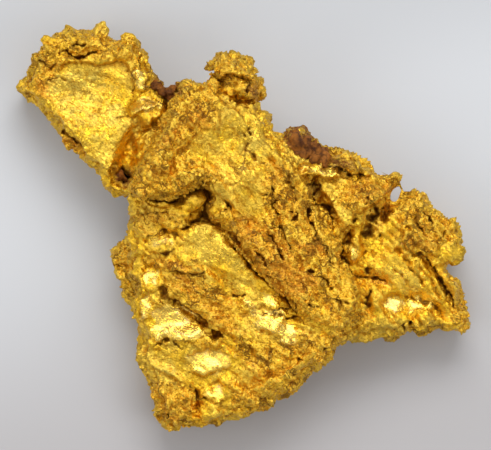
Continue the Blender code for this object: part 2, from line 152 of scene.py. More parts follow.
# The silhouette, clockwise from the left tip of the head.
OUTLINE = [
    (-15.15, 9.3), (-14.9, 9.7), (-14.5, 10.1), (-14.2, 10.45), (-14.15, 10.7), (-13.95, 11), (-14.1, 11.3),
    (-13.95, 11.6), (-13.3, 11.65), (-13.45, 12.25), (-13.3, 12.5), (-12.65, 12.75), (-12.35, 13), (-12, 13.2),
    (-11, 13.1), (-10.1, 13.05), (-9.85, 13.2), (-9.65, 13.45), (-9.4, 13.55), (-9.15, 13.4), (-9.1, 13.1),
    (-8.8, 12.3), (-8.6, 12), (-8.4, 12), (-8.25, 12.3), (-8.05, 12.65), (-7.8, 12.8), (-7.5, 12.8),
    (-7.2, 12.65), (-7.05, 12.4), (-6.7, 11.6), (-6.45, 11.4), (-6.35, 10.85), (-6.4, 10.6), (-6, 10.1),
    (-5.8, 9.85), (-5.5, 9.6), (-5.35, 9.2), (-5, 9.1), (-4.7, 9.2), (-4.4, 9.4), (-4.15, 9.65), (-3.9, 9.75),
    (-3.5, 9.8), (-3.2, 9.6), (-2.95, 9.4), (-2.4, 9.6), (-2.1, 9.5), (-1.75, 10), (-2, 10.15), (-2.3, 10.4),
    (-2.43, 10.73), (-2, 11.05), (-1.63, 11.58), (-1.09, 11.49), (-0.65, 11.45), (-0.15, 11.54), (0.34, 11.05),
    (0.69, 10.51), (1.05, 9.89), (0.69, 9.71), (1.14, 9.53), (1.5, 8.99), (1.41, 8.55), (0.79, 8.19),
    (0.69, 8.01), (1.5, 7.65), (1.81, 7.3), (1.68, 6.85), (2.03, 6.05), (2.39, 5.42), (2.4, 5.85), (2.6, 6.1),
    (3, 6.5), (3.15, 6.62), (3.5, 6.55), (4, 6.58), (4.25, 6.4), (4.5, 6.1), (5.2, 5.45), (5.75, 5.15),
    (6.3, 5.25), (7, 4.95), (7.8, 4.65), (8.4, 4.1), (8.9, 3.6), (9, 3.35), (9.4, 3.25), (9.9, 3.55),
    (10.2, 3.65), (10.5, 3.3), (10.4, 2.8), (10.55, 2.5), (10.75, 2.2), (11, 2.1), (11.6, 2.4), (12.2, 2.15),
    (12.5, 1.4), (12.85, 1.1), (13.1, 1), (13.3, 0.45), (13.75, 0.6), (14.05, 0.5), (14.35, -0.1),
    (14.6, -0.75), (14.45, -0.95), (14.8, -1.6), (14.75, -2.05), (14.5, -2.4), (14.15, -2.6), (13.8, -2.6),
    (13.45, -2.45), (13.4, -2.7), (13.8, -3.4), (14.4, -3.65), (14.7, -4.3), (14.9, -5.2), (15.1, -6.2),
    (15.05, -6.8), (14.85, -7.15), (14.2, -6.9), (13.4, -6.9), (12.8, -6.7), (12.4, -7.15), (12.15, -7.3),
    (12, -7.2), (11.85, -6.6), (11.75, -6.9), (11.2, -7), (10.75, -7.1), (10.15, -7.6), (9.4, -7.4), (9, -7.3),
    (8.4, -7.65), (7.5, -7.7), (6.6, -7.6), (6.2, -8.1), (5.95, -8.7), (5.6, -9.2), (4.95, -9.4), (4.7, -9.75),
    (4.35, -9.8), (3.85, -10.6), (3.6, -11), (2.9, -11.4), (2.1, -11.7), (1.5, -12.2), (0.6, -12.45),
    (0.2, -12.7), (-0.7, -12.85), (-1.2, -13.1), (-1.9, -13.1), (-2.7, -13.35), (-3.9, -13.25), (-4.5, -13.6),
    (-4.9, -13.6), (-5.6, -13.2), (-5.95, -12.5), (-5.75, -12.2), (-6.2, -11.1), (-6, -10.9), (-6.35, -10.2),
    (-6.8, -9.6), (-7.05, -8.8), (-7.15, -8.4), (-7, -8), (-7.05, -7.2), (-7, -6.6), (-7.4, -5.9), (-7.2, -5.6),
    (-7.9, -4.7), (-8.2, -3.7), (-8.65, -2.7), (-8.8, -1.8), (-8.5, -1.5), (-8.15, -0.95), (-7.8, -0.85),
    (-7.65, 0), (-7.55, 0.6), (-7.65, 1.3), (-7.45, 1.95), (-7.8, 2), (-8.47, 2.19), (-9.2, 2.47),
    (-9.45, 3.03), (-9.4, 3.6), (-9.87, 3.78), (-10.06, 4.2), (-10.8, 4.5), (-11.3, 5.05), (-12, 5.6),
    (-12.15, 6), (-12.9, 6.95), (-13.7, 8), (-14.4, 8.5), (-15.1, 9.1),
]

GAP = (10.2, 2.2)  # light shows through here, so the skin is thin and hollow below it

SCARPS = {
    "strap_edge": Scarp(
        [(-2.2, 0.5), (-1.6, 0.3), (-1.2, -0.1), (-0.9, -0.7), (-0.5, -1.3), (0.0, -1.9), (0.4, -2.6), (1.0, -3.1),
         (1.6, -3.7), (2.3, -4.3), (2.9, -4.7), (3.2, -5.1), (3.6, -5.6), (4.0, -6.3)], 0.5, 2.0),
    "shoulder_foot": Scarp(
        [(-7.5, 2.1), (-6.5, 1.95), (-5.8, 1.8), (-4.7, 1.55), (-4.4, 1.9), (-3.6, 2.3), (-3.0, 2.6),
         (-2.65, 3.1)], 0.45, 1.2),
    "shoulder_scarp": Scarp([(-5.2, 3.3), (-5.0, 3.7), (-4.8, 4.4), (-4.4, 5.0), (-3.9, 5.5), (-3.2, 6.2)], 0.35, 1.3),
    "step_edge": Scarp(
        [(-7.3, -0.75), (-6.5, -0.65), (-5.9, -0.5), (-5.2, -0.2), (-4.8, -0.4), (-4.3, -0.7)], 0.25, 0.9),
    "lower_plate_edge": Scarp(
        [(-5.5, -4.2), (-5.0, -4.6), (-4.4, -4.95), (-4.0, -5.2), (-3.6, -5.5), (-3.2, -5.8), (-2.7, -6.1),
         (-2.3, -6.3), (-2.2, -6.6), (-1.8, -6.9), (-1.3, -7.4)], 0.4, 1.2),
    "thin_plate_edge": Scarp([(-4.9, -2.9), (-4.0, -3.0), (-3.0, -3.1), (-2.6, -2.95)], 0.22, 0.8),
    "small_plate_edge": Scarp([(-5.7, -1.75), (-5.2, -1.65), (-4.6, -1.5)], 0.2, 0.5),
    "left_plate_edge": Scarp([(-7.4, -5.0), (-7.45, -3.8), (-7.5, -2.8), (-7.55, -1.2)][::-1], 0.5, 1.0),
    "lip": Scarp([(-5.3, 3.3), (-4.5, 3.6), (-3.6, 3.75), (-2.7, 3.8), (-2.0, 3.5), (-1.3, 2.9)][::-1], 0.18, 0.8),
    "head_inner_rim": Scarp(
        [(-12.7, 10.2), (-11.6, 11.0), (-10.5, 11.0), (-9.5, 10.7), (-8.5, 11.2), (-8.0, 11.0), (-7.5, 10.5),
         (-7.35, 9.6), (-7.35, 8.8)], 0.35, 1.1),
    "head_low_edge": Scarp([(-11.0, 5.1), (-11.6, 6.0), (-12.4, 6.9), (-13.3, 7.9), (-14.6, 9.0)][::-1], 0.3, 1.0),
    "ledge": Scarp([(-5.2, 7.6), (-5.9, 7.75), (-6.6, 7.7), (-7.3, 7.4), (-7.9, 7.2)][::-1], 0.25, 0.8),
    "wing_ledge": Scarp([(3.6, 3.2), (4.4, 3.4), (5.2, 3.3), (6.1, 3.35), (6.7, 3.4)], 0.35, 0.8),
    "wing_lump_edge": Scarp([(5.5, 4.1), (6.3, 3.8), (7.3, 3.4), (8.2, 3.4), (8.9, 3.5)], 0.35, 1.3),
    "wing_plate_edge": Scarp(
        [(7.1, 0.7), (7.9, 1.2), (8.5, 1.6), (8.9, 1.3), (9.1, 1.6), (9.7, 1.7), (10.1, 1.8)], 0.5, 1.5),
    "far_lobe_edge": Scarp(
        [(10.5, 0.6), (10.6, -0.6), (11.0, -1.5), (11.2, -1.8), (12.3, -1.9), (12.9, -1.6)], 0.4, 1.5),
    "lath_edge": Scarp([(12.1, -1.9), (12.6, -2.6), (13.0, -3.3), (13.5, -4.1), (14.2, -4.9), (14.1, -5.4)], 0.35, 0.8),
    "strap_far_edge": Scarp(
        [(5.95, 0.1), (6.3, -1.2), (6.5, -2.1), (7.0, -2.7), (7.3, -3.3), (7.6, -4.2), (7.2, -5.4),
         (6.4, -6.2)][::-1], 0.45, 1.5),
    "strap_top_edge": Scarp([(1.9, 2.8), (2.1, 2.0), (2.1, 1.2), (2.4, 0.6), (2.7, -0.3), (3.1, -1.4)], 0.2, 1.2),
    "lower_rim_edge": Scarp(
        [(5.2, -7.7), (4.0, -8.7), (2.9, -9.6), (1.6, -10.3), (0.4, -10.9), (-1.0, -11.4)], 0.3, 0.9),
    "knob_seam": Scarp([(-2.0, 10.0), (-1.3, 9.9), (-0.9, 10.25), (-0.2, 10.1), (0.2, 9.8), (0.8, 9.65)], 0.5, 0.9),
    "knob_foot": Scarp([(-1.5, 9.0), (-1.1, 8.75), (-0.4, 8.6), (0.3, 8.55), (0.9, 8.5)], 0.55, 0.9),
}

CRACKS = {
    # Head lobe
    "head_slot": Crack([(-12.1, 11.7), (-11.5, 11.35), (-11.0, 11.2), (-10.5, 11.4), (-9.8, 11.65)], 0.2, 0.7),
    "head_slit": Crack([(-11.4, 12.1), (-11.0, 12.2), (-10.4, 12.15)], 0.16, 0.6),
    "head_tongue": Crack([(-11.4, 11.75), (-10.6, 11.8)], 0.22, -0.25, 0.0),
    "head_crack": Crack([(-7.35, 10.2), (-7.33, 9.5), (-7.36, 8.8)], 0.08, 0.4, 0.8),
    "head_knuckle_seam": Crack([(-6.9, 11.6), (-6.8, 10.9), (-6.6, 10.5)], 0.12, 0.4),
    "head_side_pocket": Crack([(-12.1, 6.5), (-11.7, 6.1), (-11.4, 5.6), (-11.0, 5.2), (-10.7, 5.05)], 0.2, 0.6, 0.8),
    "head_crease_a": Crack([(-13.2, 9.6), (-12.4, 9.9), (-11.8, 9.7)], 0.12, 0.25, 0.4),
    "head_crease_b": Crack([(-13.6, 11.0), (-13.0, 10.6), (-12.4, 10.9)], 0.14, 0.35, 0.7),
    "head_crease_c": Crack([(-12.6, 12.2), (-12.2, 11.9), (-12.3, 11.4)], 0.12, 0.35, 0.7),
    "ledge_line_a": Crack([(-7.2, 7.6), (-6.4, 7.75), (-5.5, 7.95)], 0.07, 0.25, 0.6),
    "ledge_line_b": Crack([(-7.1, 8.4), (-6.3, 8.25), (-5.6, 8.3)], 0.07, 0.25, 0.5),
    "ledge_line_c": Crack([(-8.6, 7.35), (-7.9, 7.2), (-7.3, 7.4)], 0.08, 0.2, 0.4),
    "neck_fold": Crack([(-5.3, 6.9), (-6.3, 6.6), (-7.0, 5.9), (-7.3, 5.0), (-7.6, 4.3)], 0.75, 0.15, 0.0),
    "knob_crack": Crack([(-1.5, 9.85), (-0.9, 10.15), (-0.2, 10.0), (0.2, 9.72), (0.9, 9.6)], 0.08, 0.4),
    "knob_split": Crack([(0.25, 9.6), (0.3, 9.1), (0.1, 8.6)], 0.07, 0.35),
    # Middle
    "fold_crack_left": Crack(
        [(-7.5, 2.1), (-6.5, 1.95), (-5.8, 1.8), (-5.2, 1.7), (-4.7, 1.55), (-4.3, 1.75)], 0.13, 0.7),
    "fold_crack_right": Crack([(-4.4, 2.05), (-3.6, 2.4), (-3.0, 2.75), (-2.65, 3.2)], 0.14, 0.7),
    "fold_mouth_foot": Crack([(-2.6, 0.35), (-3.2, 0.3), (-3.7, 0.05), (-4.3, -0.25)], 0.2, 0.8),
    "strap_foot": Crack(
        [(-2.4, 0.4), (-1.7, 0.2), (-1.25, -0.15), (-0.95, -0.7), (-0.55, -1.35), (-0.05, -2.0), (0.35, -2.7),
         (0.95, -3.2), (1.55, -3.8), (2.25, -4.4), (2.85, -4.8), (3.15, -5.2), (3.55, -5.7),
         (3.95, -6.4)], 0.15, 0.5, 0.4),
    "strap_foot_wide": Crack([(-0.4, -1.5), (0.2, -2.4), (0.8, -3.1), (1.5, -3.8)], 0.25, 0.3, 0.3),
    "star_pit": Crack([(-1.2, 1.8), (-1.05, 1.2), (-0.8, 0.9)], 0.14, 0.4, 0.8),
    "star_pit_arm": Crack([(-1.4, 1.05), (-1.0, 1.1)], 0.12, 0.45),
    "step_crack": Crack([(-6.5, -0.62), (-5.9, -0.48), (-5.2, -0.15), (-4.8, -0.35), (-4.3, -0.65)], 0.1, 0.3),
    "step_groove": Crack([(-7.3, 0.9), (-6.2, 0.85), (-5.2, 0.95), (-4.8, 0.5), (-4.4, 0.1)], 0.1, 0.25, 0.5),
    "plateau_pit_a": Crack([(0.0, 6.3), (0.05, 5.95)], 0.1, 0.4, 0.8),
    "plateau_pit_b": Crack([(0.35, 6.5), (0.55, 6.1)], 0.09, 0.4, 0.8),
    "plateau_pit_c": Crack([(0.3, 5.5), (0.1, 5.1), (0.55, 4.8)], 0.12, 0.4, 0.8),
    "plateau_pit_d": Crack([(0.6, 4.75), (0.75, 4.4)], 0.08, 0.35, 0.8),
    "plateau_pit_e": Crack([(1.0, 4.15), (1.4, 4.1)], 0.11, 0.4, 0.8),
    "plateau_streak_a": Crack([(-2.2, 4.2), (-1.4, 3.4), (-0.6, 2.2), (0.0, 1.2)], 0.1, 0.12, 0.2),
    "plateau_streak_b": Crack([(-1.2, 4.6), (-0.4, 3.6), (0.4, 2.3), (1.0, 1.2)], 0.1, 0.14, 0.2),
    "plateau_streak_c": Crack([(-0.4, 0.9), (0.3, 0.0), (1.0, -1.0)], 0.08, 0.15, 0.4),
    # Strap
    "seam_a": Crack(
        [(1.8, 2.8), (2.0, 2.3), (1.9, 2.0), (2.3, 1.7), (2.05, 1.4), (2.1, 1.0), (2.4, 0.65)], 0.145, 0.58),
    "seam_b": Crack([(3.0, 1.2), (3.4, 0.9), (3.4, 0.5), (3.2, 0.4)], 0.105, 0.48),
    "seam_c": Crack(
        [(1.6, -0.1), (2.5, -0.05), (2.7, -0.4), (2.9, -0.9), (3.2, -1.3), (3.1, -1.6), (3.5, -1.65)], 0.105, 0.48),
    "seam_d": Crack([(1.6, -0.4), (2.0, -0.8), (2.2, -1.3), (2.7, -2.2)], 0.105, 0.48),
    "seam_e": Crack([(4.2, 1.3), (4.5, 0.5), (4.7, -0.3), (4.85, -0.9)], 0.115, 0.58),
    "seam_f": Crack([(5.1, -1.15), (5.4, -1.3), (5.5, -1.9), (5.9, -2.5)], 0.125, 0.58),
    "seam_g": Crack([(4.2, -3.0), (4.7, -2.9)], 0.115, 0.48),
    "seam_h": Crack([(6.1, -4.9), (6.6, -5.1), (7.0, -5.1)], 0.105, 0.48),
    "seam_i": Crack([(4.1, -4.8), (4.5, -5.3), (5.1, -5.4)], 0.105, 0.48),
    "seam_j": Crack([(0.6, -1.4), (1.2, -2.0), (1.7, -2.7)], 0.095, 0.38, 0.8),
    "seam_k": Crack([(2.9, 3.6), (3.0, 2.9), (3.4, 2.3)], 0.105, 0.43, 0.8),
    "seam_l": Crack([(5.0, -3.2), (5.6, -3.6), (5.9, -4.2)], 0.105, 0.43, 0.8),
    # Crevice between strap and wing
    "crevice_top": Crack([(4.1, 2.75), (4.7, 2.9), (5.0, 2.6), (4.6, 2.0)], 0.22, 0.6, 0.8),
    "crevice": Crack([(4.6, 2.0), (5.2, 1.4), (5.8, 1.1), (5.95, 0.1)], 0.2, 0.7, 0.8),
    "crevice_low": Crack(
        [(7.1, -0.1), (6.9, -0.6), (6.8, -1.1), (6.4, -1.3), (6.6, -2.0), (7.0, -2.6)], 0.18, 0.7, 0.8),
    "crevice_foot": Crack([(7.0, -2.6), (7.3, -3.3), (8.0, -3.4), (9.0, -3.4), (9.6, -3.8)], 0.15, 0.5, 0.8),
    "crevice_end": Crack([(8.5, -4.3), (8.3, -4.8), (8.4, -5.4)], 0.16, 0.5, 0.9),
    # Wing
    "wing_slit": Crack([(5.5, 4.15), (6.3, 3.8), (7.3, 3.4), (8.2, 3.4)], 0.14, 0.7),
    "wing_arc": Crack([(8.0, 1.5), (8.5, 1.6), (8.9, 1.3), (8.9, 0.9), (8.7, 0.5)], 0.12, 0.6),
    "wing_line": Crack([(8.2, 2.0), (8.6, 1.6)], 0.07, 0.35),
    "far_line_a": Crack([(11.4, 0.9), (11.5, 0.3), (11.8, -0.2), (12.2, -0.55)], 0.08, 0.4),
    "far_line_b": Crack([(12.2, 1.1), (12.4, 0.5), (12.65, 0.05)], 0.11, 0.5),
    "far_line_c": Crack([(13.2, -0.8), (13.5, -0.3)], 0.1, 0.4),
    "far_foot": Crack([(11.0, -1.5), (11.2, -1.8), (12.1, -1.85)], 0.1, 0.5, 0.9),
    "lath_crevice": Crack(
        [(12.1, -1.9), (12.6, -2.6), (13.0, -3.3), (13.5, -4.1), (14.2, -4.9), (14.1, -5.4)], 0.13, 0.8),
    "lath_groove_a": Crack([(10.6, -2.0), (11.5, -3.3), (12.2, -4.0)], 0.14, 0.35, 0.2),
    "lath_groove_b": Crack(
        [(10.5, -4.2), (11.0, -4.6), (11.6, -4.9), (12.5, -5.2), (13.2, -5.8), (13.4, -6.3)], 0.15, 0.4, 0.5),
    "lath_groove_c": Crack([(9.9, -2.6), (10.7, -3.5), (11.7, -4.4)], 0.1, 0.25, 0.2),
    "lath_groove_d": Crack([(11.6, -2.3), (12.5, -3.6), (13.3, -4.8)], 0.1, 0.3, 0.2),
    "lath_ridge_a": Crack([(11.0, -2.1), (12.0, -3.5), (13.2, -5.1)], 0.2, -0.22, 0.0),
    "lath_ridge_b": Crack([(13.2, -2.6), (13.7, -3.6), (14.3, -4.6)], 0.2, -0.2, 0.0),
    "bottom_notch": Crack([(11.2, -6.6), (11.7, -6.7)], 0.25, 0.8),
    "bottom_notch_left": Crack([(10.7, -6.5), (10.65, -6.9)], 0.12, 0.5),
    # Lower left
    "flap_line_a": Crack([(-7.6, -1.2), (-7.6, -1.7)], 0.13, 0.5),
    "flap_line_b": Crack([(-8.7, -2.1), (-8.4, -2.5), (-8.0, -2.9)], 0.1, 0.4),
    "flap_line_c": Crack([(-7.5, -3.0), (-7.45, -4.0), (-7.4, -5.0)], 0.13, 0.7),
    "small_plate_foot": Crack([(-5.6, -1.75), (-5.1, -1.65), (-4.6, -1.5)], 0.1, 0.4),
    "thin_plate_foot": Crack([(-4.9, -2.9), (-4.0, -3.05), (-3.0, -3.15), (-2.6, -3.0)], 0.09, 0.4, 0.9),
    "lower_plate_foot": Crack(
        [(-5.5, -4.25), (-5.0, -4.65), (-4.4, -5.0), (-4.0, -5.25), (-3.6, -5.55), (-3.2, -5.85)], 0.1, 0.35, 0.9),
    "lower_plate_gap": Crack(
        [(-3.3, -5.8), (-2.7, -6.15), (-2.3, -6.35), (-2.15, -6.7), (-1.8, -6.95), (-1.3, -7.45)], 0.1, 0.35),
    "dash": Crack([(-0.7, -4.6), (0.2, -4.6)], 0.1, 0.4, 0.8),
    "low_crack_a": Crack([(1.0, -5.9), (1.8, -5.85), (2.2, -5.6), (3.3, -5.3)], 0.08, 0.4),
    "low_crack_b": Crack([(2.0, -5.8), (3.0, -6.1), (3.7, -5.95)], 0.08, 0.4),
    "wavy_crack": Crack([(-5.9, -8.1), (-5.4, -7.5), (-4.6, -7.7), (-4.1, -8.2)], 0.1, 0.4, 0.8),
    "corner_crack": Crack([(-3.3, -10.7), (-3.1, -11.1), (-2.9, -11.4), (-2.4, -11.6)], 0.16, 0.6),
    "tip_valley": Crack([(-2.9, -11.4), (-3.0, -12.0), (-2.9, -12.8)], 0.35, 0.45, 0.1),
    "tip_dash_a": Crack([(-5.3, -12.9), (-5.1, -12.5)], 0.09, 0.35),
    "tip_dash_b": Crack([(-3.8, -12.4), (-3.6, -12.1)], 0.09, 0.35),
    "bright_lath": Crack([(0.0, -4.75), (0.5, -5.3), (0.9, -5.8)], 0.2, -0.25, 0.0),
    "strap_lath": Crack([(4.0, -3.1), (4.6, -3.6), (5.2, -4.1)], 0.14, -0.2, 0.0),
    "low_rim_dent": Crack([(3.5, -8.75), (3.9, -8.85)], 0.12, 0.4),
    "low_dimple": Crack([(0.3, -7.9), (0.7, -8.7)], 0.3, 0.35, 0.0),
}

PITS = {
    "chin_pit": Pit((-8.15, 3.2), (0.85, 0.75), 1.3, 20, 1.0),
    "wing_hole_a": Pit((8.6, 0.5), (0.4, 0.3), 0.8, 40, 1.0),
    "wing_hole_b": Pit((8.3, -0.35), (0.34, 0.36), 0.8, 0, 1.0),
    "wing_hole_c": Pit((9.05, -0.6), (0.18, 0.22), 0.6, 0, 1.0),
    "wing_hole_d": Pit((7.4, 0.55), (0.22, 0.18), 0.6, 0, 1.0),
    "wing_recess": Pit((9.45, 0.85), (0.75, 0.36), 0.7, 90, 0.45),
    "wing_nook": Pit((9.95, 1.55), (0.3, 0.18), 0.6, 15, 1.0),
    "amber_pit_a": Pit((10.9, -0.2), (0.26, 0.2), 0.35, 30, 0.2),
    "amber_pit_b": Pit((10.35, -1.7), (0.3, 0.28), 0.35, 0, 0.2),
    "amber_pit_c": Pit((8.1, -1.85), (0.22, 0.26), 0.35, 0, 0.3),
    "wing_facet_hole": Pit((8.35, -3.0), (0.24, 0.2), 0.5, 0, 1.0),
    "crevice_pocket": Pit((5.4, 1.9), (0.35, 0.42), 0.5, 0, 0.35),
    "strap_dot": Pit((1.5, 2.1), (0.16, 0.14), 0.35, 0, 0.9),
    "rim_hole": Pit((5.5, -8.15), (0.22, 0.18), 0.4, 0, 0.9),
    "wing_lump": Pit((7.4, 4.35), (1.4, 0.6), -0.35, -20, 0.0),
    "bright_lump": Pit((7.35, -2.0), (0.4, 0.6), -0.3, 0, 0.0),
    "tip_lump": Pit((-4.7, -12.0), (1.0, 1.0), -0.2, 0, 0.0),
    "rim_lump": Pit((0.5, -11.8), (1.1, 0.6), -0.25, 15, 0.0),
    "fold_floor": Pit((-6.8, 5.2), (0.8, 1.3), -0.5, -25, 0.0),
    "chin_hole": Pit((-8.25, 3.3), (0.5, 0.5), 0.9, 20, 1.0),
    "knob_right": Pit((0.95, 8.95), (0.55, 0.6), -0.2, 0, 0.0),
}

HOLLOWS = {
    "fold_mouth": Hollow(
        [(-2.65, 3.0), (-2.4, 2.3), (-2.05, 1.5), (-2.2, 0.6), (-1.5, 0.0), (-2.6, 0.15), (-3.5, -0.05), (-3.7, 0.3),
         (-3.0, 0.6), (-2.75, 1.5), (-2.72, 2.3)], 0.8, 0.7),
    "fold_shade": Hollow(
        [(-6.5, 2.1), (-5.7, 2.0), (-4.8, 1.75), (-4.3, 2.1), (-3.6, 2.45), (-2.75, 2.95), (-2.75, 2.45), (-3.4, 1.9),
         (-4.2, 1.55), (-4.9, 1.45), (-5.7, 1.65), (-6.4, 1.75)], 0.6, 0.6),
    "tooth": Hollow([(-4.3, 1.4), (-3.4, 1.9), (-2.8, 2.4), (-2.8, 1.5), (-3.1, 0.6), (-4.0, 0.3)], -0.12, 0.0),
}

FILLS = {
    "plate_start": Fill((-5.3, -4.4), 0.8, 5.5),
    "step_shelf": Fill((-5.5, -1.0), 0.95, 5.95, (0.05, -0.3)),
    "ledge_shelf": Fill((-6.2, 8.0), 1.5, 6.0, (0.2, -0.3)),
    "neck_scoop": Fill((-6.6, 6.1), 1.2, 5.2, (0.5, 0.2)),
    "wing_glint_a": Fill((9.9, -5.25), 0.9, 4.4, (0.0, -0.38), 1),
    "wing_glint_b": Fill((11.5, -5.3), 1.0, 4.15, (0.0, -0.38), 1),
}

FACETS = {
    "low_bright": Facet((-4.5, -6.5), (1.9, 0.95), -5, (-0.05, -0.42)),
    "low_bright_left": Facet((-6.2, -3.5), (0.6, 0.8), 0, (-0.18, -0.5)),
    "low_bright_edge": Facet((-6.6, -5.4), (0.45, 0.7), 0, (-0.25, -0.6)),
    "step_bright": Facet((-5.3, -1.0), (0.9, 0.5), 15, (0.0, 0.08)),
    "basin_bright": Facet((-2.4, -9.0), (1.3, 0.7), 10, (0.0, -0.65)),
    "basin_low": Facet((-1.9, -11.0), (1.0, 0.6), 0, (-0.1, -0.65)),
    "head_glint": Facet((-7.05, 9.7), (0.28, 0.75), 5, (0.5, -0.25)),
    "ledge_shelf": Facet((-6.3, 8.0), (1.1, 0.7), 10, (-0.15, -0.2)),
    "fold_shine": Facet((-6.6, 5.6), (0.6, 1.2), -25, (-0.1, -0.3)),
    "plate_low": Facet((1.8, -4.9), (0.7, 0.5), -30, (0.1, -0.42)),
    "plate_lower": Facet((3.0, -7.0), (0.6, 0.6), -30, (0.1, -0.4)),
    "plate_corner": Facet((1.6, -6.2), (1.0, 0.7), -30, (0.05, -0.4)),
    "ledge_bright": Facet((5.0, 3.75), (1.3, 0.35), 0, (0.3, -0.1)),
}

